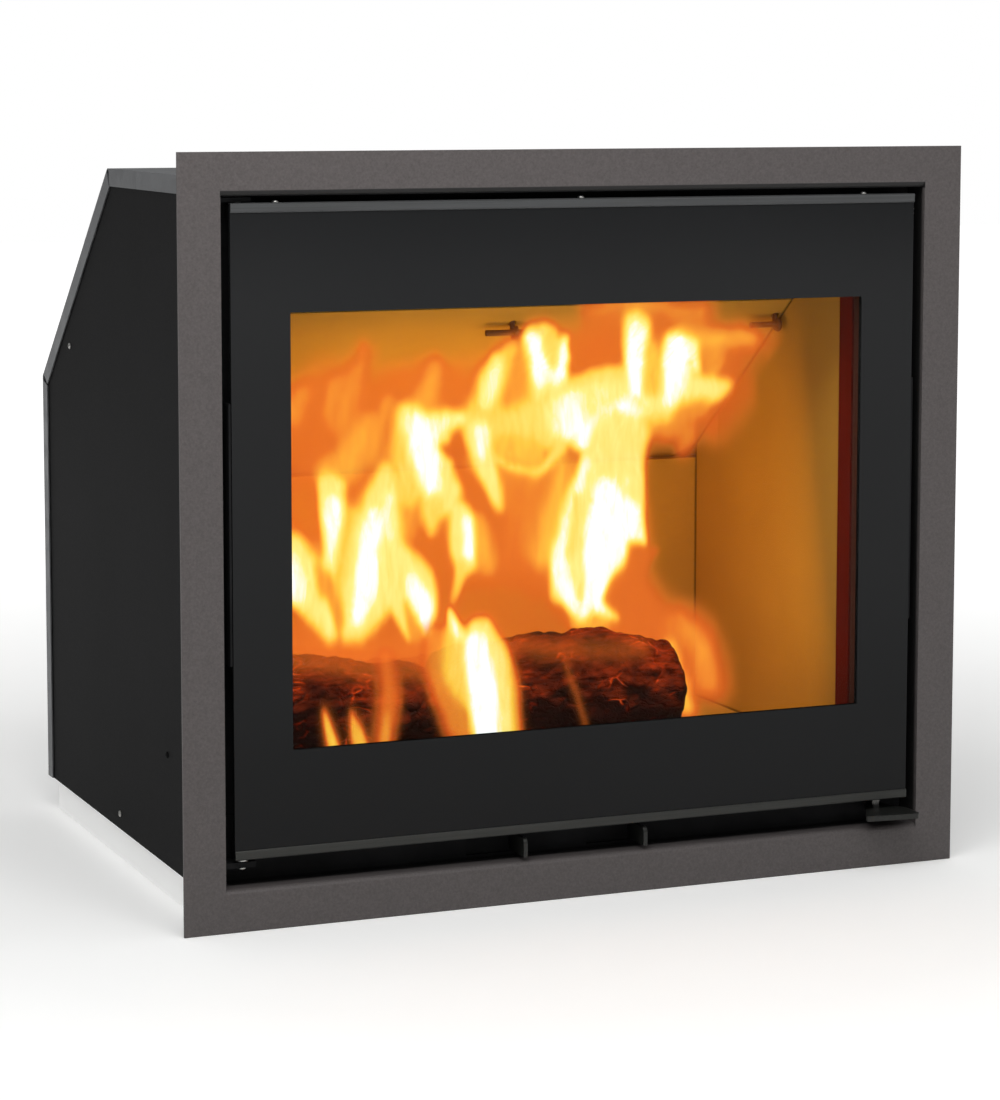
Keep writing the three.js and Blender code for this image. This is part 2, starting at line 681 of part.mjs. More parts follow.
function floorBrick() {
  const half = GRATE_W / 2 + FIT;
  const shape = outline([
    [FIT / 2, frontBackY + FIT],
    [mouthHalf - FIT, frontBackY + FIT],
    [mouthHalf - FIT, fireBackY - FIT],
    [FIT / 2, fireBackY - FIT],
    [FIT / 2, grateY + half],
    [half, grateY + half],
    [half, grateY - half],
    [FIT / 2, grateY - half],
  ]);
  return alongZ(shape, brickBaseZ, fireFloorZ);
}

function baffleLower() {
  const footZ = backSeamZ + FIT;
  const footY = backPlateY - FIT;
  const thick = BAFFLE_T / Math.cos(BAFFLE_PITCH);
  const head = [BAFFLE_HEAD_Y, baffleHeadZ];
  const headTop = [
    head[0] + BAFFLE_T * Math.sin(BAFFLE_PITCH),
    head[1] + BAFFLE_T * Math.cos(BAFFLE_PITCH),
  ];
  const shape = outline([
    head,
    headTop,
    [footY, baffleUnderZ(footY) + thick],
    [footY, footZ],
    [baffleUnderY(footZ), footZ],
  ]);
  const holes = Object.values(hangerPlaces).map((x) => {
    const z = baffleUnderZ(hangerY);
    return rodZ(x, hangerY, HANGER_ROD_R + HANGER_SLACK, z - BAFFLE_T, z + thick + BAFFLE_T, 12);
  });
  return cut(alongX(shape, -liningHalf, liningHalf), ...holes);
}

function baffleUpper() {
  const y1 = UPPER_BAFFLE_FRONT_Y + UPPER_BAFFLE_DEPTH;
  return box(-liningHalf, liningHalf, UPPER_BAFFLE_FRONT_Y, y1, upperBaffleZ, upperBaffleZ + PLATE_T);
}

// An angle on the firebox side that carries one end of the upper baffle.
function baffleRail() {
  const y0 = UPPER_BAFFLE_FRONT_Y - RAIL_PAST_FRONT;
  const y1 = UPPER_BAFFLE_FRONT_Y + UPPER_BAFFLE_DEPTH + RAIL_PAST_BACK;
  const top = upperBaffleZ - FIT;
  const ledge = box(liningHalf - RAIL_W, liningHalf, y0, y1, top - RAIL_T, top);
  const web = box(liningHalf - RAIL_T, liningHalf, y0, y1, brickTopZ + FIT, top);
  return joined(ledge, web);
}

// A hook that hangs from the upper baffle and holds up the lower one on a cross bar.
function baffleHanger(x) {
  const barZ = baffleUnderZ(hangerY) - HANGER_DROP;
  const loop = HANGER_BAR_R + HANGER_ROD_R;
  const points = [new THREE.Vector3(x, hangerY, upperBaffleZ - FIT)];
  for (let i = 0; i <= HANGER_STEPS; i += 1) {
    const turn = (i / HANGER_STEPS) * HANGER_HOOK_TURN;
    points.push(new THREE.Vector3(x, hangerY - loop + loop * Math.cos(turn), barZ - loop * Math.sin(turn)));
  }
  const path = new THREE.CurvePath();
  for (let i = 1; i < points.length; i += 1) {
    path.add(new THREE.LineCurve3(points[i - 1], points[i]));
  }
  const section = outline(
    Array.from({ length: 8 }, (_, i) => [
      HANGER_ROD_R * Math.cos((i * Math.PI) / 4),
      HANGER_ROD_R * Math.sin((i * Math.PI) / 4),
    ]),
  );
  const rod = new THREE.ExtrudeGeometry(section, { steps: 22, extrudePath: path });
  const side = Math.sign(x);
  const half = HANGER_BAR_LEN / 2;
  const stub = HANGER_ROD_R + HANGER_SLACK;
  const x0 = x - (side < 0 ? stub : half);
  const x1 = x + (side > 0 ? stub : half);
  return joined(rod, rodX(hangerY - loop, barZ, HANGER_BAR_R, x0, x1));
}

function grate() {
  const half = GRATE_W / 2;
  const z1 = brickBaseZ + GRATE_T;
  const pitch = (GRATE_W - 2 * GRATE_SEAT) / GRATE_SLOTS;
  const reach = half - GRATE_SEAT - GRATE_RIM;
  const slots = Array.from({ length: GRATE_SLOTS }, (_, i) => {
    const x = (i - (GRATE_SLOTS - 1) / 2) * pitch;
    const w = GRATE_SLOT_W / 2;
    return box(x - w, x + w, grateY - reach, grateY + reach, brickBaseZ - PAST, z1 + PAST);
  });
  return cut(box(-half, half, grateY - half, grateY + half, brickBaseZ, z1), ...slots);
}

function ashPan() {
  const half = GRATE_W / 2 - GRATE_SEAT - PAN_GAP;
  const z0 = trayTopZ + FIT;
  const z1 = shelfZ - PAN_DROP;
  const outer = box(-half, half, grateY - half, grateY + half, z0, z1);
  const w = half - PAN_T;
  return cut(outer, box(-w, w, grateY - w, grateY + w, z0 + PAN_T, z1 + PAST));
}

// A low angle that keeps the logs off the glass. Its upper edge is rolled towards the fire.
function logGuard() {
  const y0 = brickFrontY + GUARD_GAP;
  const z0 = fireFloorZ + FIT;
  const profile = [
    [y0 + GUARD_FOOT, z0],
    [y0, z0],
    [y0, z0 + GUARD_H],
    [y0 + GUARD_LIP, z0 + GUARD_H],
  ];
  const half = mouthHalf - GUARD_GAP;
  return alongX(bentSheet(profile, -GUARD_T, GUARD_BEND), -half, half);
}

// ---- flue and combustion air ------------------------------------------------------------------
function flueCollar() {
  const z0 = roofZ + PLATE_T + FIT;
  const z1 = casingTopZ + FLUE_STAND;
  const wall = flueBoreR + FLUE_WALL;
  const profile = [
    [flueBoreR, z0],
    [flueFlangeR, z0],
    [flueFlangeR, z0 + FLUE_FLANGE_T],
    [wall, z0 + FLUE_FLANGE_T],
    [wall, z1],
    [flueBoreR, z1],
  ];
  return turned(profile, 0, flueY, 48);
}

function airInlet() {
  const y0 = fireboxBackY + FIT + REAR_DUCT_DEPTH + FIT;
  const y1 = CASING_DEPTH + AIR_STAND;
  const tube = rodY(0, airZ, AIR_BORE_R + AIR_WALL, y0, y1, 40);
  return cut(tube, rodY(0, airZ, AIR_BORE_R, y0 - PAST, y1 + PAST, 40));
}

// A hat section up the back of the firebox, open towards it and closed at its upper end.
function rearDuct() {
  const y0 = fireboxBackY + FIT;
  const y1 = y0 + REAR_DUCT_DEPTH;
  const half = REAR_DUCT_W / 2;
  const z0 = trayTopZ + FIT;
  const brim = half + REAR_DUCT_FLANGE;
  const shape = outline([
    [-brim, y0], [-half + DUCT_T, y0], [-half + DUCT_T, y1 - DUCT_T], [half - DUCT_T, y1 - DUCT_T],
    [half - DUCT_T, y0], [brim, y0], [brim, y0 + DUCT_T], [half, y0 + DUCT_T],
    [half, y1], [-half, y1], [-half, y0 + DUCT_T], [-brim, y0 + DUCT_T],
  ]);
  const hat = alongZ(shape, z0, rearDuctTopZ);
  const lid = box(-half, half, y0, y1, rearDuctTopZ - DUCT_T, rearDuctTopZ);
  return cut(joined(hat, lid), rodY(0, airZ, AIR_BORE_R, y1 - PAST, y1 + PAST, 40));
}

// A channel up the outside of the firebox that feeds the air wash above the mouth.
function sideDuct() {
  const x0 = sideOuter + FIT;
  const x1 = ductOuter;
  const y0 = SIDE_DUCT_Y;
  const y1 = y0 + SIDE_DUCT_DEPTH;
  const shape = outline([
    [x0, y0], [x1, y0], [x1, y1], [x0, y1],
    [x0, y1 - DUCT_T], [x1 - DUCT_T, y1 - DUCT_T], [x1 - DUCT_T, y0 + DUCT_T], [x0, y0 + DUCT_T],
  ]);
  const channel = alongZ(shape, brickBaseZ, sideDuctTopZ);
  return joined(channel, box(x0, x1, y0, y1, sideDuctTopZ - DUCT_T, sideDuctTopZ));
}

// The wall under the firebox floor that makes the space below it an air box.
function airBox() {
  const half = ductOuter;
  const inner = half - AIR_BOX_T;
  const y0 = frontBackY + FIT;
  const y1 = fireboxBackY;
  const shape = outline([
    [-half, y0], [-inner, y0], [-inner, y1 - AIR_BOX_T], [inner, y1 - AIR_BOX_T],
    [inner, y0], [half, y0], [half, y1], [-half, y1],
  ]);
  const z0 = trayTopZ + FIT;
  const z1 = shelfZ - FIT;
  const way = REAR_DUCT_W / 2 - 2 * DUCT_T;
  const hole = box(-way, way, y1 - PAST, y1 + PAST, z0 + AIR_BOX_SILL, z1 - AIR_BOX_SILL);
  return cut(alongZ(shape, z0, z1), hole);
}

// The bent strip above the mouth that turns the air down over the glass.
function airWashPlate() {
  const y0 = frontBackY + FIT;
  const z = sideDuctTopZ - WASH_RISE;
  const profile = [
    [y0, z + WASH_RISE],
    [y0, z],
    [y0 + WASH_SHELF, z],
    [y0 + WASH_TAIL_Y, mouthTopZ + FRONT_T + WASH_CLEAR],
  ];
  return alongX(bentSheet(profile, DUCT_T, WASH_BEND), -liningHalf, liningHalf);
}

// ---- air levers -------------------------------------------------------------------------------
const slideY = frontBackY + FIT;
const slideZ = trayTopZ + FIT + DUCT_T + FIT;
const slideTop = slideZ + SLIDE_H;
const portZ = leverZ + (LEVER_H - PORT_H) / 2;

function airSlide(side) {
  const x1 = leverX(side) + LEVER_T / 2 + SWING;
  return box(x1 - SLIDE_LEN, x1, slideY, slideY + SLIDE_T, slideZ, slideTop);
}

function airLever(side) {
  const r = LEVER_ROUND;
  const z0 = leverZ;
  const z1 = leverZ + LEVER_H;
  const back = slideY - FIT;
  const shape = new THREE.Shape();
  shape.moveTo(LEVER_TIP_Y, z0);
  shape.lineTo(back, z0);
  shape.lineTo(back, z1);
  shape.lineTo(LEVER_TIP_Y + r, z1);
  shape.absarc(LEVER_TIP_Y + r, z1 - r, r, Math.PI / 2, Math.PI, false);
  shape.closePath();
  const x = leverX(side);
  return alongX(shape, x - LEVER_T / 2, x + LEVER_T / 2);
}

// The channel that both slides run in. A window behind each lets the air through.
function damperGuide() {
  const wallY = slideY + SLIDE_T + FIT;
  const z0 = slideZ - FIT - DUCT_T;
  const z1 = slideTop + FIT + DUCT_T;
  const shape = outline([
    [slideY, z0], [wallY + DUCT_T, z0], [wallY + DUCT_T, z1], [slideY, z1],
    [slideY, z1 - DUCT_T], [wallY, z1 - DUCT_T], [wallY, z0 + DUCT_T], [slideY, z0 + DUCT_T],
  ]);
  const end = leverX(1) + SWING + LEVER_T + GUIDE_PAST_RIGHT;
  const start = leverX(-1) - LEVER_TRAVEL - SLIDE_LEN - GUIDE_PAST_LEFT;
  const ports = [-1, 1].map((side) => {
    const x = leverX(side) + LEVER_T / 2 + SWING - SLIDE_LEN / 2;
    return box(x - PORT_W / 2, x + PORT_W / 2, wallY - PAST, wallY + PAST, portZ, portZ + PORT_H);
  });
  return cut(alongX(shape, start, end), ...ports);
}

// ---- door -------------------------------------------------------------------------------------
const hingeGap = HINGE_PIN_R + HINGE_METAL;
const hingeBlock = {
  x0: hingeX - hingeGap - HINGE_BLOCK_PAST,
  x1: hingeX + hingeGap,
  y0: doorFrameY,
  y1: doorFrameY + DOOR_FRAME_DEPTH,
};

function doorFrame() {
  const t = DOOR_FRAME_T;
  const back = doorFrameY + DOOR_FRAME_DEPTH;
  const { half, bottom, top } = windowFrame;
  const hole = [[-half, bottom], [-half, top], [half, top], [half, bottom]];
  const sheet = withHole(rectangle(-doorFrameHalf, doorFrameHalf, glassBottom, glassTop), hole);
  const plate = alongY(sheet, doorFrameY, doorPlateBackY);
  const rim = alongY(ring(doorFrameHalf - t, glassBottom + t, glassTop - t, t), doorFrameY, back);
  const corners = [
    [glassBottom - PAST, glassBottom + HINGE_BLOCK_H + FIT],
    [glassTop - HINGE_BLOCK_H - FIT, glassTop + PAST],
  ].map(([z0, z1]) => {
    return box(-doorFrameHalf - PAST, hingeBlock.x1 + FIT, doorFrameY - PAST, back + PAST, z0, z1);
  });
  const reach = SHAFT_R + BEARING_LUG;
  const lugTop = glassBottom + SHAFT_LUG_H;
  const lug = box(
    shaftX - reach, shaftX + reach,
    doorFrameY, SHAFT_Y + reach,
    glassBottom, lugTop,
  );
  const shaftHole = rodZ(shaftX, SHAFT_Y, SHAFT_R + RUN, glassBottom - PAST, lugTop + PAST);
  return cut(joined(plate, rim, lug), ...corners, shaftHole);
}

function doorGlass() {
  return box(-doorHalf, doorHalf, glassY, glassBackY, glassBottom, glassTop);
}

// A bevelled lip along one edge of the glass, with a cap that closes that edge.
function doorTrim(edgeZ, inward) {
  const lip = edgeZ + inward * TRIM_H;
  const points = [
    [DOOR_FACE_Y + TRIM_BEVEL, edgeZ],
    [glassBackY, edgeZ],
    [glassBackY, edgeZ + inward * TRIM_CAP],
    [DOOR_FACE_Y + TRIM_T, edgeZ + inward * TRIM_CAP],
    [DOOR_FACE_Y + TRIM_T, lip],
    [DOOR_FACE_Y + TRIM_BEVEL, lip],
    [DOOR_FACE_Y, lip - inward * TRIM_BEVEL],
    [DOOR_FACE_Y, edgeZ + inward * TRIM_BEVEL],
  ];
  return alongX(outline(points), -doorHalf, doorHalf);
}

function glassSeal() {
  const { half, bottom, top } = windowFrame;
  return alongY(ring(half, bottom, top, GLASS_SEAL_W), glassBackY + FIT, doorFrameY - FIT);
}

function doorSeal() {
  const shape = ring(
    mouthHalf + DOOR_SEAL_OUT,
    mouthBottomZ - DOOR_SEAL_OUT,
    mouthTopZ + DOOR_SEAL_OUT,
    DOOR_SEAL_W,
  );
  return alongY(shape, doorPlateBackY + FIT, FRONT_Y - FIT);
}

// A strip that holds the edge of the glass to the steel frame.
function glassClip() {
  const z0 = windowBottomZ + CLIP_INSET;
  const z1 = windowTopZ - CLIP_INSET;
  const x1 = doorHalf + FIT + CLIP_T;
  const x0 = doorFrameHalf + FIT;
  const web = box(x0, x1, glassBackY + FIT, doorFrameY + CLIP_HOLD, z0, z1);
  const nib = box(x1 - CLIP_T, x1, glassY + CLIP_NIB, doorFrameY, z0, z1);
  return joined(web, nib);
}

// ---- hinge ------------------------------------------------------------------------------------
function hingeBlockAt(z0) {
  const block = box(hingeBlock.x0, hingeBlock.x1, hingeBlock.y0, hingeBlock.y1, z0, z0 + HINGE_BLOCK_H);
  return cut(block, rodZ(hingeX, HINGE_Y, HINGE_PIN_R + RUN, z0 - PAST, z0 + HINGE_BLOCK_H + PAST));
}

const lowerArmTop = doorBottomZ - HINGE_DROP;
const upperArmBottom = doorTopZ + HINGE_RISE;

function hingeBracket(armZ, armT, up) {
  const x0 = -openingHalf + SWING;
  const x1 = hingeX + hingeGap + HINGE_BASE_PAST;
  const backY = FRONT_Y - FIT;
  const frontY = HINGE_Y - hingeGap;
  const arm = box(x0, x1, frontY, backY, armZ, armZ + armT);
  const baseZ = up ? armZ + armT - HINGE_BASE_H : armZ;
  const base = box(x0, x1, backY - HINGE_BASE_T, backY, baseZ, baseZ + HINGE_BASE_H);
  const hole = rodZ(hingeX, HINGE_Y, HINGE_PIN_R + RUN, armZ - PAST, armZ + armT + PAST);
  return cut(joined(arm, base), hole);
}

// The lower pin carries the door on a shoulder that stands on the bracket's arm.
function lowerPin() {
  const armZ = lowerArmTop - HINGE_ARM_T;
  const shoulder = glassBottom - FIT;
  const head = armZ - HINGE_PIN_HEAD;
  const tip = glassBottom + HINGE_BLOCK_H - HINGE_PIN_SHORT;
  const profile = [
    [0, head],
    [HINGE_PIN_R, head],
    [HINGE_PIN_R, lowerArmTop + FIT],
    [HINGE_COLLAR_R, lowerArmTop + FIT],
    [HINGE_COLLAR_R, shoulder],
    [HINGE_PIN_R, shoulder],
    [HINGE_PIN_R, tip],
    [0, tip],
  ];
  return turned(profile, hingeX, HINGE_Y, 24);
}

function upperPin() {
  const z0 = glassTop - HINGE_BLOCK_H + HINGE_PIN_SHORT;
  return rodZ(hingeX, HINGE_Y, HINGE_PIN_R, z0, upperArmBottom + HINGE_TOP_ARM_T);
}

// ---- latch ------------------------------------------------------------------------------------
// A hub on the shaft with an arm back through the front plate and a finger that latches behind it.
// It is drawn latched and then turned to the released pose, in which the finger clears the slot.
function latchHook(z) {
  const fingerY = frontBackY + HOOK_GAP - SHAFT_Y;
  const rear = fingerY + HOOK_FINGER_T;
  const arm = HOOK_ARM_W / 2;
  const nose = HOOK_NOSE;
  const shape = new THREE.Shape();
  shape.absarc(0, 0, HOOK_HUB_R, Math.PI * 0.8, Math.PI * 2.2, false);
  shape.lineTo(arm, HOOK_HUB_R);
  shape.lineTo(arm, fingerY);
  shape.lineTo(HOOK_REACH, fingerY);
  shape.lineTo(HOOK_REACH, rear - nose);
  shape.lineTo(HOOK_REACH - nose, rear);
  shape.lineTo(-arm + nose, rear);
  shape.lineTo(-arm, rear - nose);
  shape.lineTo(-arm, HOOK_HUB_R);
  shape.closePath();
  const bore = rodZ(0, 0, SHAFT_R + RUN, -HOOK_H, HOOK_H);
  const hook = cut(alongZ(shape, -HOOK_H / 2, HOOK_H / 2), bore);
  return hook.rotateZ(LATCH_TURN).translate(shaftX, SHAFT_Y, z);
}

function latchShaft() {
  return rodZ(shaftX, SHAFT_Y, SHAFT_R, handleZ - SHAFT_TIP, hookZs.top + SHAFT_PAST, 16);
}

function latchBearing() {
  const z0 = hookZs.top + BEARING_RISE;
  const x0 = mouthHalf + DOOR_SEAL_OUT + DOOR_SEAL_W + BEARING_GAP;
  const x1 = doorFrameHalf - DOOR_FRAME_T - FIT;
  const block = box(x0, x1, doorPlateBackY + FIT, SHAFT_Y + SHAFT_R + BEARING_LUG, z0, z0 + BEARING_H);
  return cut(block, rodZ(shaftX, SHAFT_Y, SHAFT_R + RUN, z0 - PAST, z0 + BEARING_H + PAST));
}

// The flat tab under the door's right-hand corner. Its front edge stands proud of the surround.
function doorHandle() {
  const hub = SHAFT_R + HANDLE_HUB;
  const r = HANDLE_ROUND;
  const left = shaftX - HANDLE_TIP_IN;
  const right = shaftX + HANDLE_TIP_OUT;
  const leftFrontY = HANDLE_FRONT_Y + HANDLE_SKEW;
  const shape = new THREE.Shape();
  shape.moveTo(left + r, leftFrontY);
  shape.lineTo(right - r, HANDLE_FRONT_Y);
  shape.absarc(right - r, HANDLE_FRONT_Y + r, r, -Math.PI / 2, 0, false);
  shape.lineTo(right, HANDLE_NECK_Y);
  shape.lineTo(shaftX + hub, SHAFT_Y);
  shape.absarc(shaftX, SHAFT_Y, hub, 0, Math.PI * 0.9, false);
  shape.lineTo(left, leftFrontY + r);
  shape.absarc(left + r, leftFrontY + r, r, Math.PI, Math.PI * 1.5, false);
  shape.closePath();
  const plate = alongZ(shape, handleZ, handleZ + HANDLE_T);
  return cut(plate, rodZ(shaftX, SHAFT_Y, SHAFT_R + RUN, handleZ - PAST, handleZ + HANDLE_T + PAST, 16));
}

// ---- materials --------------------------------------------------------------------------------
function finish(color, roughness, metalness) {
  return new THREE.MeshStandardMaterial({ color, roughness, metalness, flatShading: true });
}

const bronzePaint = finish(0x5c5857, 0.55, 0.3);
const blackPaint = finish(0x242424, 0.6, 0.1);
const zincSheet = finish(0x75777a, 0.4, 0.9);
const bodySteel = finish(0x1b1b1c, 0.7, 0.4);
const trimSteel = finish(0x43443f, 0.4, 0.7);
const castIron = finish(0x2a2826, 0.8, 0.3);
const fireBrick = finish(0xa5641c, 0.95, 0);
const sealRope = finish(0x4a4743, 1, 0);
const pinSteel = finish(0x8d8d8a, 0.35, 0.9);
const ceramicGlass = new THREE.MeshStandardMaterial({
  color: 0x262626,
  roughness: 0.08,
  metalness: 0,
  transparent: true,
  opacity: 0.5,
});

// ---- assembly ---------------------------------------------------------------------------------
const insert = new THREE.Group();
insert.position.set(0, -(bodyFrontY + CASING_DEPTH) / 2, -casingBaseZ);

function add(name, geometry, material) {
  const mesh = new THREE.Mesh(geometry, material);
  mesh.name = name;
  insert.add(mesh);
}

function addPair(name, geometry, material) {
  add(name + "_left", mirroredX(geometry), material);
  add(name + "_right", geometry, material);
}

add("surround_frame", surroundFrame(), bronzePaint);
addPair("frame_bracket", frameBracket(), zincSheet);
add("casing_wrap", casingWrap(), zincSheet);
addPair("casing_side", casingSide(), blackPaint);
add("casing_base", casingBase(), zincSheet);
add("front_plate", frontPlate(), bodySteel);

addPair("firebox_side", fireboxSide(), bodySteel);
add("firebox_floor", fireboxFloor(), bodySteel);
add("firebox_back", fireboxBack(), bodySteel);
add("firebox_slope", fireboxSlope(), bodySteel);
add("firebox_top", fireboxTop(), bodySteel);

addPair("side_brick", sideBrick(), fireBrick);
add("back_brick", backBrick(), fireBrick);
addPair("floor_brick", floorBrick(), fireBrick);
add("baffle_lower", baffleLower(), fireBrick);
add("baffle_upper", baffleUpper(), bodySteel);
addPair("baffle_rail", baffleRail(), bodySteel);
for (const [place, x] of Object.entries(hangerPlaces)) {
  add("baffle_hanger_" + place, baffleHanger(x), pinSteel);
}
add("grate", grate(), castIron);
add("ash_pan", ashPan(), bodySteel);
add("log_guard", logGuard(), bodySteel);

add("flue_collar", flueCollar(), castIron);
add("air_inlet_collar", airInlet(), zincSheet);
add("rear_air_duct", rearDuct(), zincSheet);
addPair("airwash_duct", sideDuct(), zincSheet);
add("air_box", airBox(), zincSheet);
add("airwash_plate", airWashPlate(), bodySteel);
add("damper_guide", damperGuide(), zincSheet);
for (const [use, side] of [["primary", -1], ["secondary", 1]]) {
  add(use + "_air_slide", airSlide(side), bodySteel);
  add(use + "_air_lever", airLever(side), bodySteel);
}

add("door_frame", doorFrame(), bodySteel);
add("door_glass", doorGlass(), ceramicGlass);
add("door_trim_top", doorTrim(doorTopZ, -1), trimSteel);
add("door_trim_bottom", doorTrim(doorBottomZ, 1), trimSteel);
add("glass_gasket", glassSeal(), sealRope);
add("door_gasket", doorSeal(), sealRope);
addPair("glass_clip", glassClip(), bodySteel);
add("hinge_block_bottom", hingeBlockAt(glassBottom), bodySteel);
add("hinge_block_top", hingeBlockAt(glassTop - HINGE_BLOCK_H), bodySteel);
add("hinge_bracket_bottom", hingeBracket(lowerArmTop - HINGE_ARM_T, HINGE_ARM_T, false), bodySteel);
add("hinge_bracket_top", hingeBracket(upperArmBottom, HINGE_TOP_ARM_T, true), bodySteel);
add("hinge_pin_bottom", lowerPin(), pinSteel);
add("hinge_pin_top", upperPin(), pinSteel);

add("latch_bearing", latchBearing(), bodySteel);
add("latch_shaft", latchShaft(), pinSteel);
for (const [place, z] of Object.entries(hookZs)) {
  add("latch_hook_" + place, latchHook(z), bodySteel);
}
add("door_handle", doorHandle(), bodySteel);

export default insert;
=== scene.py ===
import json
import math

import bpy
import numpy as np
from mathutils import Matrix, Vector, noise


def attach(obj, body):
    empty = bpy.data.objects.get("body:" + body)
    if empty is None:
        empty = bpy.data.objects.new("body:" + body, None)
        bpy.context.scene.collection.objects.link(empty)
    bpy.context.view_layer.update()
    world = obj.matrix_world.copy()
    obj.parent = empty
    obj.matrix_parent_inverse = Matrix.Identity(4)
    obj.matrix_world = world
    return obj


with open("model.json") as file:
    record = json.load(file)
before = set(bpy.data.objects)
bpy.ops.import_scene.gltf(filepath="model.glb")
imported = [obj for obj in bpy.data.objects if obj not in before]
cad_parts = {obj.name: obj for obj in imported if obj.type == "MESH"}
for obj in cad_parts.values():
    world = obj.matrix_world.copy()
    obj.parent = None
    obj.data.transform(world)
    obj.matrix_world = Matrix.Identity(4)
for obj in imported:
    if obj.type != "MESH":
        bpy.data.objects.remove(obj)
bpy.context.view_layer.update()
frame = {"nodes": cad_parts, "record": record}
NODES = frame["nodes"]
NOISE_SEED = 7
noise.seed_set(NOISE_SEED)

# Places are written in the CAD's own measures, in millimetres: X from the centre, Y back from the
# surround's face and Z up from its lower edge. The row frame, in metres, has its origin at the
# centre of the casing's underside.
ORIGIN_Y = 215.15
ORIGIN_Z = 26.2


def at(x, y, z):
    return Vector((x / 1000, (y - ORIGIN_Y) / 1000, (z - ORIGIN_Z) / 1000))


def y_at(y):
    return at(0, y, 0).y


def z_at(z):
    return at(0, 0, z).z


# The surround's face, the fire bricks' inner corner, and the baffle's underside: its front edge
# and how much it rises towards the front.
FACE_Y = y_at(0)
BRICK_INSIDE = at(225, 286, 80)
BAFFLE_HEAD = (121, 416)
BAFFLE_RISE = 0.774

# ---- camera -----------------------------------------------------------------------------------
# Solved from the straight edges in the photograph: the place in the CAD's millimetres, the turn in
# degrees, and the focal length and optical axis in the picture's pixels.
CAMERA = (-928.9, -2077.3, 583.4)
YAW, PITCH, ROLL = (math.radians(a) for a in (22.531, 6.186, 0.042))
FOCAL_PX = 3236.7
IMAGE_W, IMAGE_H = 1000, 1100
AXIS_U, AXIS_V = 500, 430
SENSOR_WIDTH = 36
FARTHEST_VIEW = 50


def camera_axes():
    forward = Vector(
        (math.sin(YAW) * math.cos(PITCH), math.cos(YAW) * math.cos(PITCH), -math.sin(PITCH))
    )
    level = Vector((math.cos(YAW), -math.sin(YAW), 0))
    upright = level.cross(forward)
    right = level * math.cos(ROLL) + upright * math.sin(ROLL)
    up = upright * math.cos(ROLL) - level * math.sin(ROLL)
    return right, up, forward


RIGHT, UP, FORWARD = camera_axes()


def placed(name, data):
    """A new object in the scene for a mesh, a lamp or a camera."""
    made = bpy.data.objects.new(name, data)
    bpy.context.scene.collection.objects.link(made)
    return made


def make_camera():
    data = bpy.data.cameras.new("camera")
    data.sensor_width = SENSOR_WIDTH
    data.lens = FOCAL_PX * SENSOR_WIDTH / IMAGE_H
    data.shift_x = (IMAGE_W / 2 - AXIS_U) / IMAGE_H
    data.shift_y = -(IMAGE_H / 2 - AXIS_V) / IMAGE_H
    data.clip_end = FARTHEST_VIEW
    camera = placed("camera", data)
    turn = Matrix((RIGHT, UP, -FORWARD)).transposed().to_4x4()
    camera.matrix_world = Matrix.Translation(at(*CAMERA)) @ turn
    bpy.context.scene.camera = camera


def sight(u, v):
    """The direction from the camera through a point of the picture."""
    return FORWARD + RIGHT * ((u - AXIS_U) / FOCAL_PX) - UP * ((v - AXIS_V) / FOCAL_PX)


# ---- shader helper ----------------------------------------------------------------------------
# The sockets that a mix node uses when it mixes colours.
MIX_FACTOR, MIX_A, MIX_B = 0, 6, 7
MIX_RESULT = 2


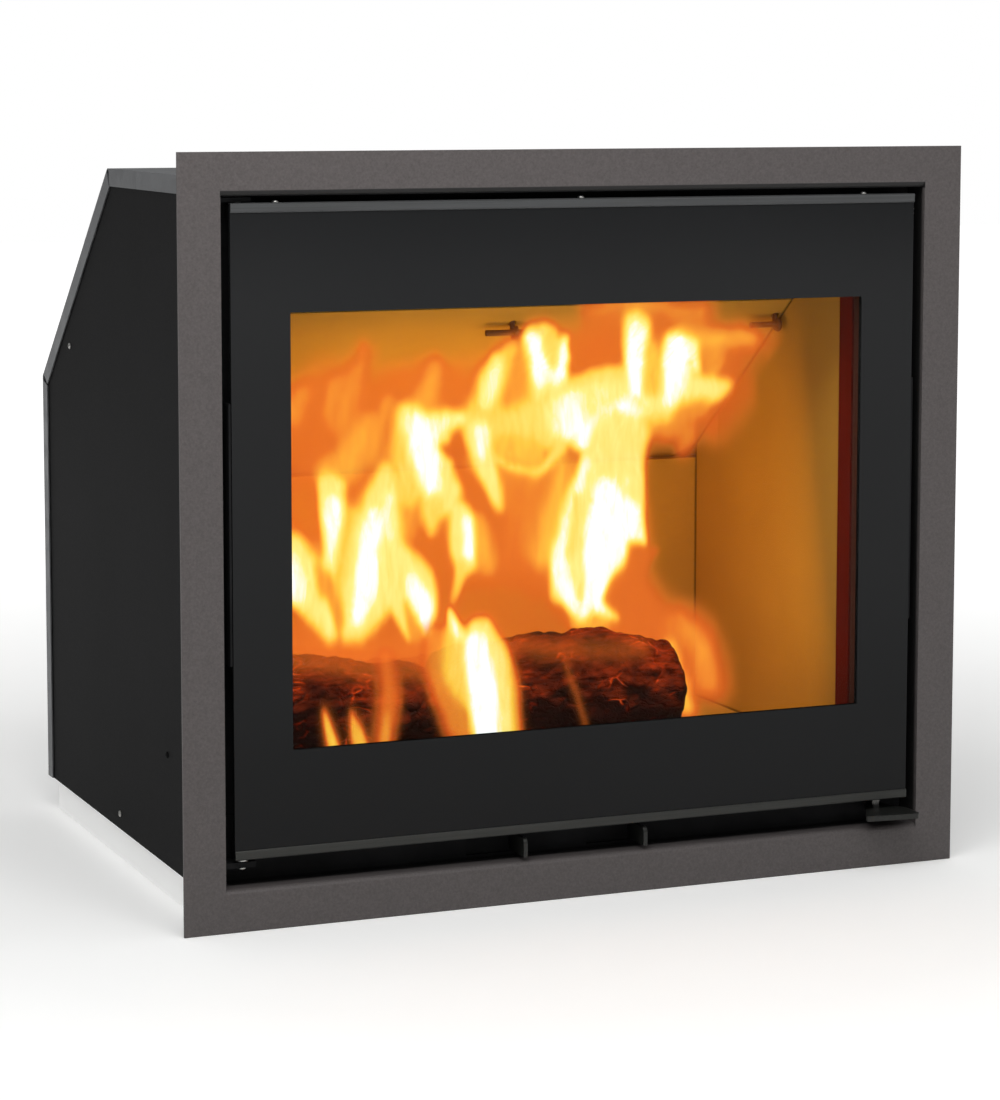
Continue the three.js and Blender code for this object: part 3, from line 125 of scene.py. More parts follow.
class Shader:
    """A material's node tree, with short calls for the nodes that the finishes share."""

    def __init__(self, name):
        self.material = bpy.data.materials.new(name)
        self.material.use_nodes = True
        self.tree = self.material.node_tree
        self.bsdf = self.tree.nodes["Principled BSDF"]
        self.output = self.tree.nodes["Material Output"]
        self.place = self.add("ShaderNodeTexCoord").outputs["Object"]

    def add(self, kind, settings=None, **sockets):
        """A new node, with a value or a link for each socket that is named."""
        made = self.tree.nodes.new(kind)
        for key, value in (settings or {}).items():
            setattr(made, key, value)
        for key, value in sockets.items():
            self.feed(made.inputs[key.replace("_", " ")], value)
        return made

    def feed(self, socket, value):
        if isinstance(value, bpy.types.NodeSocket):
            self.tree.links.new(value, socket)
        else:
            socket.default_value = value

    def set(self, **sockets):
        """The same for the material's main shader."""
        for key, value in sockets.items():
            self.feed(self.bsdf.inputs[key.replace("_", " ")], value)

    def stretched(self, x, y, z):
        return self.add("ShaderNodeMapping", Vector=self.place, Scale=(x, y, z)).outputs["Vector"]

    def noise(self, scale, detail, roughness, where=None, distortion=0.0):
        made = self.add(
            "ShaderNodeTexNoise",
            Vector=where or self.place,
            Scale=scale,
            Detail=detail,
            Roughness=roughness,
            Distortion=distortion,
        )
        return made.outputs["Fac"]

    def cells(self, scale, feature="F1", where=None, output="Distance"):
        made = self.add(
            "ShaderNodeTexVoronoi", {"feature": feature}, Vector=where or self.place, Scale=scale
        )
        return made.outputs[output]

    def ramp(self, factor, *stops):
        """Colours by a factor; each stop is a position and its colour."""
        made = self.add("ShaderNodeValToRGB", Fac=factor)
        steps = made.color_ramp.elements
        steps[0].position, steps[-1].position = stops[0][0], stops[-1][0]
        steps[0].color, steps[-1].color = (*stops[0][1], 1), (*stops[-1][1], 1)
        for position, color in stops[1:-1]:
            steps.new(position).color = (*color, 1)
        return made.outputs["Color"]

    def level(self, factor, low, high, start=0.0, end=1.0):
        """A value that goes from low to high while the factor goes from start to end."""
        made = self.add("ShaderNodeMapRange", Value=factor)
        for key, value in zip(("From Min", "From Max", "To Min", "To Max"), (start, end, low, high)):
            made.inputs[key].default_value = value
        return made.outputs["Result"]

    def rise(self, factor, start, end):
        return self.level(factor, 0.0, 1.0, start, end)

    def fall(self, factor, start, end):
        return self.level(factor, 1.0, 0.0, start, end)

    def math(self, operation, a, b=0.0):
        made = self.add("ShaderNodeMath", {"operation": operation})
        self.feed(made.inputs[0], a)
        self.feed(made.inputs[1], b)
        return made.outputs[0]

    def mix(self, factor, a, b):
        made = self.add("ShaderNodeMix", {"data_type": "RGBA"})
        self.feed(made.inputs[MIX_FACTOR], factor)
        for index, color in ((MIX_A, a), (MIX_B, b)):
            self.feed(made.inputs[index], (*color, 1) if isinstance(color, tuple) else color)
        return made.outputs[MIX_RESULT]

    def bump(self, height, strength, distance):
        made = self.add("ShaderNodeBump", Height=height, Strength=strength, Distance=distance)
        self.set(Normal=made.outputs["Normal"])

    def axes(self):
        made = self.add("ShaderNodeSeparateXYZ", Vector=self.place)
        return made.outputs["X"], made.outputs["Y"], made.outputs["Z"]


# ---- finishes ---------------------------------------------------------------------------------
# How far the powder coat goes into the surround's folded lips, at the sides and top and at the
# sill. A narrow band over the opening, measured from its upper corner, is painted black as painted
# shade, where the bend over the opening faces down.
LIP_PAINT = 0.002
LIP_PAINT_SILL = 0.012
LIP_PAINT_FADE = 0.003
SILL_TOP = (z_at(31), z_at(33))
OPENING_CORNER = at(270, 0, 505)
SHADE_BAND_BOTTOM = (-0.001, 0.0)
SHADE_BAND_TOP = (0.0036, 0.0042)
SHADE_BAND_END = 0.0005


def bronze_paint():
    """Bronze powder coat, which ends a little way into the folded lips; the rest is black."""
    s = Shader("bronze_paint")
    grain = s.noise(620, detail=3, roughness=0.7)
    cloud = s.noise(9, detail=3, roughness=0.5)
    fine = s.ramp(grain, (0.25, (0.065, 0.0567, 0.0557)), (0.75, (0.113, 0.100, 0.099)))
    coat = s.mix(s.level(cloud, 0.0, 0.16), fine, (0.074, 0.066, 0.065))
    x, y, z = s.axes()
    coated = s.level(z, LIP_PAINT_SILL, LIP_PAINT, *SILL_TOP)
    past_coat = s.math("SUBTRACT", s.math("SUBTRACT", y, FACE_Y), coated)
    lip = s.rise(past_coat, 0.0, LIP_PAINT_FADE)
    # Painted shade: the black band over the opening's top edge, on the bend that faces down.
    under = s.fall(z, *(OPENING_CORNER.z + edge for edge in SHADE_BAND_TOP))
    over = s.rise(z, *(OPENING_CORNER.z + edge for edge in SHADE_BAND_BOTTOM))
    beside = s.fall(s.math("ABSOLUTE", x), OPENING_CORNER.x, OPENING_CORNER.x + SHADE_BAND_END)
    painted_shade_band = s.math("MULTIPLY", s.math("MULTIPLY", under, over), beside)
    s.set(
        Base_Color=s.mix(s.math("MAXIMUM", lip, painted_shade_band), coat, (0.008, 0.0075, 0.0075)),
        Roughness=s.level(grain, 0.5, 0.66),
        Metallic=0.25,
    )
    s.bump(grain, strength=0.35, distance=0.0003)
    return s.material


def black_paint():
    s = Shader("black_paint")
    grain = s.noise(900, detail=3, roughness=0.6)
    cloud = s.noise(6, detail=4, roughness=0.55)
    tone = s.ramp(cloud, (0.3, (0.0045, 0.0045, 0.0047)), (0.7, (0.007, 0.007, 0.0074)))
    s.set(Base_Color=tone, Roughness=s.level(grain, 0.55, 0.7), Specular_IOR_Level=0.04)
    s.bump(grain, strength=0.2, distance=0.0002)
    return s.material


def zinc_sheet():
    """Galvanised sheet, with the angular flakes of zinc that such sheet has."""
    s = Shader("zinc_sheet")
    warp = s.noise(40, detail=2, roughness=0.5)
    where = s.add("ShaderNodeVectorMath", {"operation": "ADD"})
    s.feed(where.inputs[0], s.place)
    s.feed(where.inputs[1], s.level(warp, 0.0, 0.01))
    spangle = s.cells(75, output="Color", where=where.outputs[0])
    flake = s.add("ShaderNodeSeparateColor", Color=spangle).outputs["Red"]
    cloud = s.noise(14, detail=4, roughness=0.6)
    tone = s.ramp(flake, (0.0, (0.11, 0.114, 0.122)), (1.0, (0.168, 0.172, 0.18)))
    s.set(
        Base_Color=s.mix(s.level(cloud, 0.0, 0.5), tone, (0.115, 0.117, 0.115)),
        Roughness=s.level(flake, 0.42, 0.58),
        Metallic=0.75,
    )
    s.bump(s.noise(300, detail=3, roughness=0.5), strength=0.08, distance=0.0003)
    return s.material


# Painted firelight: the fire's red-brown light painted on the steel from this depth back, inside
# the door seal, and between the mouth's sill and lintel. Each pair is the run over which the colour
# comes or goes.
FIRELIT_DEPTH = (y_at(24), y_at(27))
FIRELIT_SIDE = (at(232, 0, 0).x, at(235, 0, 0).x)
FIRELIT_SILL = (z_at(98), z_at(104))
FIRELIT_LINTEL = (z_at(436), z_at(442))


def body_steel():
    """Matt stove paint, with painted red-brown firelight inside the mouth."""
    s = Shader("body_steel")
    grain = s.noise(700, detail=4, roughness=0.65)
    cloud = s.noise(18, detail=4, roughness=0.6)
    plain_paint_tone = s.ramp(cloud, (0.3, (0.011, 0.011, 0.0115)), (0.75, (0.02, 0.02, 0.021)))
    # Painted firelight: this red-brown tone stands in for the fire's light on the mouth's steel.
    painted_firelight = s.ramp(cloud, (0.3, (0.10, 0.0035, 0.0012)), (0.8, (0.13, 0.005, 0.0016)))
    x, y, z = s.axes()
    wide = s.fall(s.math("ABSOLUTE", x), *FIRELIT_SIDE)
    tall = s.math("MULTIPLY", s.rise(z, *FIRELIT_SILL), s.fall(z, *FIRELIT_LINTEL))
    inside = s.math("MULTIPLY", s.rise(y, *FIRELIT_DEPTH), s.math("MULTIPLY", wide, tall))
    s.set(
        Base_Color=s.mix(inside, plain_paint_tone, painted_firelight),
        Roughness=s.level(grain, 0.55, 0.75),
        Specular_IOR_Level=0.03,
    )
    s.bump(grain, strength=0.25, distance=0.0003)
    return s.material


EDGE_ROUNDING = 0.0007


def tool_steel():
    """Blackened plate with softened edges, for the levers, the latch and the handle."""
    s = Shader("tool_steel")
    grain = s.noise(500, detail=4, roughness=0.6)
    tone = s.ramp(grain, (0.3, (0.016, 0.0165, 0.016)), (0.8, (0.034, 0.035, 0.031)))
    s.set(Base_Color=tone, Roughness=s.level(grain, 0.32, 0.46), Metallic=0.55)
    edge = s.add("ShaderNodeBevel", {"samples": 6}, Radius=EDGE_ROUNDING).outputs["Normal"]
    bump = s.add("ShaderNodeBump", Height=grain, Strength=0.15, Distance=0.0002, Normal=edge)
    s.set(Normal=bump.outputs["Normal"])
    return s.material


# The door's trims are darker at the sill and paler higher up: a painted reflection of a room above.
PAINTED_REFLECTION_RISE = (z_at(60), z_at(480))


def trim_steel():
    s = Shader("trim_steel")
    brushed = s.noise(1.0, detail=4, roughness=0.6, where=s.stretched(6, 900, 900))
    cloud = s.noise(20, detail=3, roughness=0.5)
    z = s.axes()[2]
    unreflecting_tone = s.ramp(brushed, (0.25, (0.025, 0.0255, 0.024)), (0.8, (0.045, 0.046, 0.042)))
    painted_reflection_tone = s.ramp(brushed, (0.25, (0.075, 0.077, 0.079)), (0.8, (0.12, 0.124, 0.128)))
    # Painted reflection: the trims' tone rises from the darker one at the sill to the paler one higher
    # up.
    tone = s.mix(s.rise(z, *PAINTED_REFLECTION_RISE), unreflecting_tone, painted_reflection_tone)
    s.set(
        Base_Color=s.mix(s.level(cloud, 0.0, 0.3), tone, (0.055, 0.056, 0.053)),
        Roughness=s.level(brushed, 0.3, 0.42),
        Metallic=0.7,
    )
    s.bump(brushed, strength=0.08, distance=0.0002)
    return s.material


def pin_steel():
    s = Shader("pin_steel")
    rings = s.noise(1.0, detail=2, roughness=0.5, where=s.stretched(40, 40, 2600))
    tone = s.ramp(rings, (0.3, (0.3, 0.3, 0.29)), (0.8, (0.48, 0.47, 0.45)))
    s.set(Base_Color=tone, Roughness=s.level(rings, 0.22, 0.38), Metallic=1.0)
    return s.material


def hanger_steel():
    s = Shader("hanger_steel")
    scale = s.noise(160, detail=5, roughness=0.7)
    tone = s.ramp(scale, (0.3, (0.07, 0.03, 0.012)), (0.8, (0.2, 0.09, 0.035)))
    s.set(Base_Color=tone, Roughness=s.level(scale, 0.55, 0.8), Metallic=0.3)
    s.bump(scale, strength=0.4, distance=0.0004)
    return s.material


def cast_iron():
    s = Shader("cast_iron")
    grain = s.noise(420, detail=5, roughness=0.7)
    pits = s.math("MULTIPLY", s.cells(260), 0.6)
    tone = s.ramp(grain, (0.3, (0.014, 0.0135, 0.013)), (0.8, (0.034, 0.032, 0.03)))
    s.set(Base_Color=tone, Roughness=s.level(grain, 0.55, 0.8), Metallic=0.35)
    s.bump(s.math("ADD", grain, pits), strength=0.45, distance=0.0006)
    return s.material


# Soot lies in the joints between bricks: how dark it makes the corner, and how far it spreads.
JOINT_SOOT = 0.7
JOINT_WIDTH = (0.0005, 0.002)


def fire_brick():
    """Pressed vermiculite board: buff, with flat golden flakes and a little soot."""
    s = Shader("fire_brick")
    flakes = s.cells(520, output="Color")
    flake = s.add("ShaderNodeSeparateColor", Color=flakes).outputs["Red"]
    cloud = s.noise(11, detail=4, roughness=0.55)
    buff = s.ramp(flake, (0.0, (0.41, 0.25, 0.041)), (1.0, (0.51, 0.32, 0.055)))
    soot = s.ramp(cloud, (0.35, (0.37, 0.22, 0.035)), (0.8, (0.47, 0.29, 0.048)))
    x, y, z = s.axes()
    to_side = s.math("SUBTRACT", BRICK_INSIDE.x, s.math("ABSOLUTE", x))
    to_back = s.math("SUBTRACT", BRICK_INSIDE.y, y)
    to_floor = s.math("ABSOLUTE", s.math("SUBTRACT", z, BRICK_INSIDE.z))
    slope = s.math("ADD", s.math("MULTIPLY", y, BAFFLE_RISE), z)
    head = at(0, *BAFFLE_HEAD)
    to_baffle = s.math("ABSOLUTE", s.math("SUBTRACT", slope, head.y * BAFFLE_RISE + head.z))
    nearest = s.math("MINIMUM", s.math("MINIMUM", to_back, to_floor), to_baffle)
    joint = s.level(s.math("ADD", to_side, nearest), JOINT_SOOT, 0.0, *JOINT_WIDTH)
    s.set(
        Base_Color=s.mix(joint, s.mix(0.5, buff, soot), (0.03, 0.012, 0.004)),
        Roughness=s.level(flake, 0.82, 0.96),
        Specular_IOR_Level=0.08,
    )
    s.bump(s.noise(380, detail=4, roughness=0.7), strength=0.25, distance=0.0005)
    return s.material


def seal_rope():
    """Braided glass rope, red-black from heat."""
    s = Shader("seal_rope")
    wave = s.add("ShaderNodeTexWave", Vector=s.place, Scale=210, Distortion=1.5, Detail=1.0)
    weave = wave.outputs["Fac"]
    fuzz = s.noise(900, detail=3, roughness=0.7)
    tone = s.ramp(weave, (0.1, (0.014, 0.003, 0.0018)), (0.9, (0.05, 0.008, 0.005)))
    loose = s.ramp(fuzz, (0.2, (0.012, 0.003, 0.002)), (0.8, (0.05, 0.009, 0.006)))
    s.set(Base_Color=s.mix(0.3, tone, loose), Roughness=0.95)
    s.bump(weave, strength=0.6, distance=0.001)
    return s.material


# The clear window in the black border, and how the clear glass tints and reflects.
WINDOW_HALF = at(220, 0, 0).x
WINDOW_Z = (z_at(123.7), z_at(425.8))
CLEAR_TINT = (1.0, 0.97, 0.90, 1)
CLEAR_GLOSS = 0.06
GLASS_IOR = 1.45


def door_glass():
    """Clear ceramic glass with a black border printed on its back."""
    s = Shader("door_glass")
    x, _, z = s.axes()
    low, high = WINDOW_Z
    past_side = s.math("SUBTRACT", s.math("ABSOLUTE", x), WINDOW_HALF)
    from_middle = s.math("ABSOLUTE", s.math("SUBTRACT", z, (low + high) / 2))
    past_end = s.math("SUBTRACT", from_middle, (high - low) / 2)
    border = s.math("GREATER_THAN", s.math("MAXIMUM", past_side, past_end), 0.0)
    cloud = s.noise(3, detail=2, roughness=0.5)
    # Painted reflection: the printed border goes from the dark tone at the window's foot to the pale
    # one at its head.
    dark = s.ramp(cloud, (0.3, (0.0040, 0.0043, 0.0047)), (0.7, (0.0060, 0.0064, 0.0069)))
    pale = s.ramp(cloud, (0.3, (0.0120, 0.0125, 0.0132)), (0.7, (0.0150, 0.0156, 0.0164)))
    s.set(
        Base_Color=s.mix(s.rise(z, low, high), dark, pale),
        Roughness=s.level(s.noise(140, detail=3, roughness=0.6), 0.09, 0.13),
        Specular_IOR_Level=0.15,
    )
    clear = s.add("ShaderNodeBsdfTransparent", Color=CLEAR_TINT)
    gloss = s.add("ShaderNodeBsdfGlossy", Color=(1, 1, 1, 1), Roughness=0.04)
    rim = s.add("ShaderNodeFresnel", IOR=GLASS_IOR).outputs[0]
    pane = s.add("ShaderNodeMixShader", Fac=s.math("MULTIPLY", rim, CLEAR_GLOSS))
    s.feed(pane.inputs[1], clear.outputs[0])
    s.feed(pane.inputs[2], gloss.outputs[0])
    whole = s.add("ShaderNodeMixShader", Fac=border)
    s.feed(whole.inputs[1], pane.outputs[0])
    s.feed(whole.inputs[2], s.bsdf.outputs[0])
    s.feed(s.output.inputs["Surface"], whole.outputs[0])
    return s.material


CRACK_WARP = (0.012, 0.012, 0.012)
LOG_GLOW = 1.15
EMBER_GLOW = 2.2


def charred_wood():
    """Wood burnt black, with a red-hot crust along its upper side and small embers in its cracks."""
    s = Shader("charred_wood")
    warp = s.noise(22, detail=3, roughness=0.6)
    where = s.add("ShaderNodeVectorMath", {"operation": "MULTIPLY_ADD"})
    s.feed(where.inputs[0], s.level(warp, -1.0, 1.0))
    s.feed(where.inputs[1], CRACK_WARP)
    s.feed(where.inputs[2], s.stretched(0.45, 1, 1))
    crack = s.cells(70, "DISTANCE_TO_EDGE", where.outputs[0])
    fine = s.cells(260, "DISTANCE_TO_EDGE", where.outputs[0])
    patch = s.noise(34, detail=5, roughness=0.7)
    grain = s.noise(1.0, detail=5, roughness=0.75, where=s.stretched(70, 460, 460))
    normal = s.add("ShaderNodeNewGeometry").outputs["Normal"]
    upward = s.add("ShaderNodeSeparateXYZ", Vector=normal).outputs["Z"]
    crust = s.math("MULTIPLY", s.rise(upward, -0.1, 0.8), s.rise(patch, 0.34, 0.6))
    black = s.ramp(grain, (0.35, (0.004, 0.0008, 0.0007)), (0.8, (0.034, 0.005, 0.0035)))
    red = s.ramp(grain, (0.3, (0.05, 0.007, 0.003)), (0.75, (0.30, 0.045, 0.010)))
    s.set(Base_Color=s.mix(crust, black, red), Roughness=0.9, Specular_IOR_Level=0.06)
    ember = s.math("MULTIPLY", s.fall(crack, 0.0, 0.05), s.rise(patch, 0.52, 0.68))
    singe = s.math("MULTIPLY", crust, s.level(grain, 0.0, 0.5, start=0.42, end=0.8))
    glow = s.math("ADD", s.math("MULTIPLY", ember, 0.8), singe)
    s.set(
        Emission_Color=s.ramp(
            glow, (0.0, (0.30, 0.012, 0.002)), (0.5, (0.75, 0.07, 0.008)), (1.0, (1.0, 0.32, 0.04))
        ),
        Emission_Strength=s.math("MULTIPLY", glow, LOG_GLOW),
    )
    blocks = s.rise(crack, 0.0, 0.12)
    chips = s.math("MULTIPLY", s.rise(fine, 0.0, 0.1), 0.3)
    height = s.math("ADD", s.math("ADD", blocks, chips), s.math("MULTIPLY", grain, 0.5))
    s.bump(height, strength=0.9, distance=0.004)
    return s.material


def ember_ash():
    """Grey ash over lumps that glow where they meet."""
    s = Shader("ember_bed")
    lumps = s.cells(90, "DISTANCE_TO_EDGE")
    patch = s.noise(30, detail=4, roughness=0.6)
    fine = s.noise(260, detail=5, roughness=0.7)
    ash = s.ramp(fine, (0.3, (0.05, 0.035, 0.03)), (0.8, (0.26, 0.21, 0.18)))
    glow = s.math(
        "MULTIPLY", s.fall(lumps, 0.0, 0.16), s.level(patch, 0.1, 1.0, start=0.4, end=0.66)
    )
    s.set(
        Base_Color=ash,
        Roughness=0.95,
        Emission_Color=s.ramp(
            glow, (0.0, (0.4, 0.02, 0.002)), (0.5, (1.0, 0.16, 0.01)), (1.0, (1.0, 0.5, 0.1))
        ),
        Emission_Strength=s.math("MULTIPLY", glow, EMBER_GLOW),
    )
    height = s.math("ADD", s.rise(lumps, 0.0, 0.3), s.math("MULTIPLY", fine, 0.4))
    s.bump(height, strength=0.8, distance=0.004)
    return s.material


# The colour of fire by its heat, its brightness, and what shows through it: all at no heat, and
# a quarter from VEIL_FULL up.
FLAME_COLORS = [
    (0.0, (0, 0, 0)),
    (0.10, (0.17, 0.039, 0.005)),
    (0.20, (0.29, 0.047, 0.006)),
    (0.30, (0.42, 0.090, 0.0115)),
    (0.45, (0.52, 0.211, 0.0245)),
    (0.60, (0.594, 0.375, 0.043)),
    (0.72, (0.625, 0.470, 0.100)),
    (0.84, (0.625, 0.570, 0.195)),
    (0.93, (0.625, 0.620, 0.520)),
    (1.0, (0.656, 0.750, 0.850)),
]
FLAME_LIGHT = 1.6
VEIL_FULL = 0.29


def flame():
    """Fire on a sheet whose heat is stored at its corners: it hides what is behind it as the heat
    rises, and glows from red through orange and yellow to white."""
    s = Shader("flame")
    heat = s.add("ShaderNodeAttribute", {"attribute_name": "flame_heat"}).outputs["Fac"]
    wisps = s.stretched(130, 60, 34)
    lick = s.noise(1.0, detail=5, roughness=0.6, where=wisps, distortion=0.9)
    hot = s.math("MULTIPLY", heat, s.level(lick, 0.86, 1.0, start=0.25, end=0.75))
    light = s.add("ShaderNodeEmission", Color=s.ramp(hot, *FLAME_COLORS), Strength=FLAME_LIGHT)
    veil = s.ramp(hot, (0.0, (1, 1, 1)), (VEIL_FULL, (0.25, 0.25, 0.25)))
    clear = s.add("ShaderNodeBsdfTransparent", Color=veil)
    out = s.add("ShaderNodeAddShader")
    s.feed(out.inputs[0], clear.outputs[0])
    s.feed(out.inputs[1], light.outputs[0])
    s.feed(s.output.inputs["Surface"], out.outputs[0])
    s.tree.nodes.remove(s.bsdf)
    s.material.cycles.emission_sampling = "NONE"
    return s.material


FINISHES = {
    "bronze_paint": bronze_paint(),
    "black_paint": black_paint(),
    "zinc": zinc_sheet(),
    "body_steel": body_steel(),
    "trim_steel": trim_steel(),
    "pin_steel": pin_steel(),
    "cast_iron": cast_iron(),
    "fire_brick": fire_brick(),
    "seal_rope": seal_rope(),
    "ceramic_glass": door_glass(),
}
TOOL_STEEL = tool_steel()
HANGER_STEEL = hanger_steel()
TOOLS = ("door_handle", "latch_hook_top", "latch_hook_bottom")


def dress_frame():
    """Each CAD piece gets the finish of its slot, apart from the tools and the baffle's hangers."""
    slots = {row["node"]: row["material_slot"] for row in frame["record"]["subparts"]}
    for name, piece in NODES.items():
        material = FINISHES[slots[name]]
        if name.startswith("baffle_hanger"):
            material = HANGER_STEEL
        if name.endswith("_lever") or name in TOOLS:
            material = TOOL_STEEL
        piece.data.materials.clear()
        piece.data.materials.append(material)


# ---- pieces -----------------------------------------------------------------------------------
def piece_from(name, vertices, faces, material, body, smooth=True):
    mesh = bpy.data.meshes.new(name)
    mesh.from_pydata(vertices, [], faces)
    mesh.validate()
    mesh.polygons.foreach_set("use_smooth", [smooth] * len(mesh.polygons))
    made = placed(name, mesh)
    made.data.materials.append(material)
    if body:
        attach(made, body)
    return made


HEAD_SIDES = 18
# A screw head from its foot to the bottom of its socket: each ring's reach, as a share of the
# head's radius, and its height, as a share of the head's. The last ring all but closes.
HEAD_RINGS = [(1, 0.0), (1, 0.45), (0.86, 0.8), (0.62, 1), (0.5, 1), (0.48, 0.35), (0.00025, 0.3)]
SOCKET_RINGS = (4, 5)
SIXTH = math.pi / 3


def screw_head(center, normal, radius, height):
    """A domed head with a six-sided socket: its corners and faces."""
    spin = Vector((0, 0, 1)).rotation_difference(Vector(normal)).to_matrix()
    corners = []
    for index, (share, rise) in enumerate(HEAD_RINGS):
        for i in range(HEAD_SIDES):
            turn = 2 * math.pi * i / HEAD_SIDES
            reach = radius * share
            if index in SOCKET_RINGS:
                reach *= math.cos(SIXTH / 2) / math.cos(turn % SIXTH - SIXTH / 2)
            local = Vector((reach * math.cos(turn), reach * math.sin(turn), height * rise))
            corners.append(Vector(center) + spin @ local)
    faces = []
    for ring in range(len(HEAD_RINGS) - 1):
        for i in range(HEAD_SIDES):
            a = ring * HEAD_SIDES + i
            b = ring * HEAD_SIDES + (i + 1) % HEAD_SIDES
            faces.append((a, b, b + HEAD_SIDES, a + HEAD_SIDES))
    faces.append(tuple(reversed(range(HEAD_SIDES))))
    last = (len(HEAD_RINGS) - 1) * HEAD_SIDES
    faces.append(tuple(range(last, last + HEAD_SIDES)))
    return corners, faces


def screws(name, places, normal, size, finish, body):
    """Heads of one size on one face, as a piece; the size is a head's radius and its height."""
    radius, height = size
    corners, faces = [], []
    for place in places:
        more, sides = screw_head(at(*place), normal, radius / 1000, height / 1000)
        faces += [tuple(i + len(corners) for i in side) for side in sides]
        corners += more
    return piece_from(name, corners, faces, finish, body, smooth=False)


# Where the screws sit, on the outer faces of the CAD's pieces, and each head's radius and height.
TRIM_SCREW_X = (-230, -4, 221)
TRIM_SCREW_Y = 4.2
TRIM_TOP_Z = 500.5
CLIP_SIDE_X = 262.5
CLIP_SCREW_Y = 4.6
CLIP_SCREW_Z = (486, 489)
CASING_SIDE_X = 281.7
BRIGHT_SCREWS_YZ = ((348.5, 378.7), (221.8, 38))
PAINTED_SCREWS_YZ = ((97.6, 106.9), (58, 337))
FRONT_SCREW_X = 266.3
FRONT_SCREW_Z = (164, 309, 377)
FRONT_PLATE_Y = 26
TRIM_HEAD, CLIP_HEAD, PANEL_HEAD, FRONT_HEAD = (2.4, 1.5), (1.2, 0.9), (2.4, 1.1), (2.0, 1.2)


def add_screws():
    """On the door's upper trim and edge clip, the casing's sides and the steel front."""
    pin, black = FINISHES["pin_steel"], FINISHES["black_paint"]
    places = [(x, TRIM_SCREW_Y, TRIM_TOP_Z) for x in TRIM_SCREW_X]
    screws("trim_screws", places, (0, 0, 1), TRIM_HEAD, pin, "door")
    places = [(CLIP_SIDE_X, CLIP_SCREW_Y, z) for z in CLIP_SCREW_Z]
    screws("edge_clip_screws", places, (1, 0, 0), CLIP_HEAD, pin, "door")
    for side, label in ((-1, "left"), (1, "right")):
        out = (side, 0, 0)
        places = [(side * CASING_SIDE_X, y, z) for y, z in BRIGHT_SCREWS_YZ]
        screws("panel_screws_" + label, places, out, PANEL_HEAD, pin, "body")
        places = [(side * CASING_SIDE_X, y, z) for y, z in PAINTED_SCREWS_YZ]
        screws("painted_screws_" + label, places, out, PANEL_HEAD, black, "body")
        places = [(side * FRONT_SCREW_X, FRONT_PLATE_Y, z) for z in FRONT_SCREW_Z]
        screws("front_screws_" + label, places, (0, -1, 0), FRONT_HEAD, TOOL_STEEL, "body")


# A log's corners around and along it, how flat it is and how much it tapers, how soon its ends
# close, and the depth of its cracks in millimetres.
LOG_AROUND = 96
LOG_ALONG = 120
LOG_FLATTENED = 0.86
LOG_TAPER = 0.10
END_ROUNDING = 16
CRACK_DEPTH = 2.2


def charred_log(name, start, end, radius, seed, sag=4.0):
    """A split log burnt to charcoal: a rough round body with cupped, broken ends."""
    a, b = at(*start), at(*end)
    axis = (b - a).normalized()
    side = axis.cross(Vector((0, 0, 1))).normalized()
    up = side.cross(axis).normalized()
    length = (b - a).length
    offset = Vector((seed * 3.1, seed * 1.7, seed * 2.3))
    corners = []
    for i in range(LOG_ALONG + 1):
        t = i / LOG_ALONG
        taper = 1 - LOG_TAPER * abs(2 * t - 1) ** 3
        closing = min(1.0, min(t, 1 - t) * END_ROUNDING)
        round_end = math.sqrt(max(0.0, 1 - (1 - closing) ** 2)) if closing < 1 else 1.0
        bow = up * (-sag * (1 - (2 * t - 1) ** 2) / 1000)
        for j in range(LOG_AROUND):
            turn = 2 * math.pi * j / LOG_AROUND
            direction = side * math.cos(turn) + up * math.sin(turn) * LOG_FLATTENED
            where = (a + axis * length * t) * 1000 + direction * radius
            lumps = noise.fractal(where * 0.016 + offset, 0.9, 2.1, 4)
            along_grain = Vector((where.x * 0.02, where.y * 0.075, where.z * 0.075)) + offset
            ridge = noise.ridged_multi_fractal(along_grain, 0.9, 2.2, 4, 1.0, 2.0)
            blocks = noise.voronoi(where * 0.055 + offset)[0]
            crack = 1 - min(1.0, (blocks[1] - blocks[0]) * 3.2)
            reach = radius * taper * (0.9 + 0.2 * lumps + 0.035 * ridge) - crack * CRACK_DEPTH
            reach *= 0.55 + 0.45 * round_end if 0 < i < LOG_ALONG else 0.5
            inset = (1 - round_end) * 6 * (0.5 + noise.noise(where * 0.06 + offset))
            shift = axis * (inset / 1000) * (1 if t < 0.5 else -1)
            corners.append(a + axis * length * t + direction * reach / 1000 + shift + bow)
    faces = []
    for i in range(LOG_ALONG):
        near, far = i * LOG_AROUND, (i + 1) * LOG_AROUND
        for j in range(LOG_AROUND):
            k = (j + 1) % LOG_AROUND
            faces.append((near + j, near + k, far + k, far + j))
    faces.append(tuple(range(LOG_AROUND)))
    faces.append(tuple(reversed(range(LOG_ALONG * LOG_AROUND, (LOG_ALONG + 1) * LOG_AROUND))))
    return piece_from(name, corners, faces, CHAR, "body")


# The free space of the firebox: its floor and half its width.
FIRE_FLOOR_Z = 80.0
FIRE_HALF = 0.2225
# The ember bed's near left corner and size, its squares each way, and its thickness at the least.
BED_CORNER = (-200, 70)
BED_SIZE = (360, 195)
BED_COLUMNS, BED_ROWS = 110, 70
BED_LEAST = 0.4


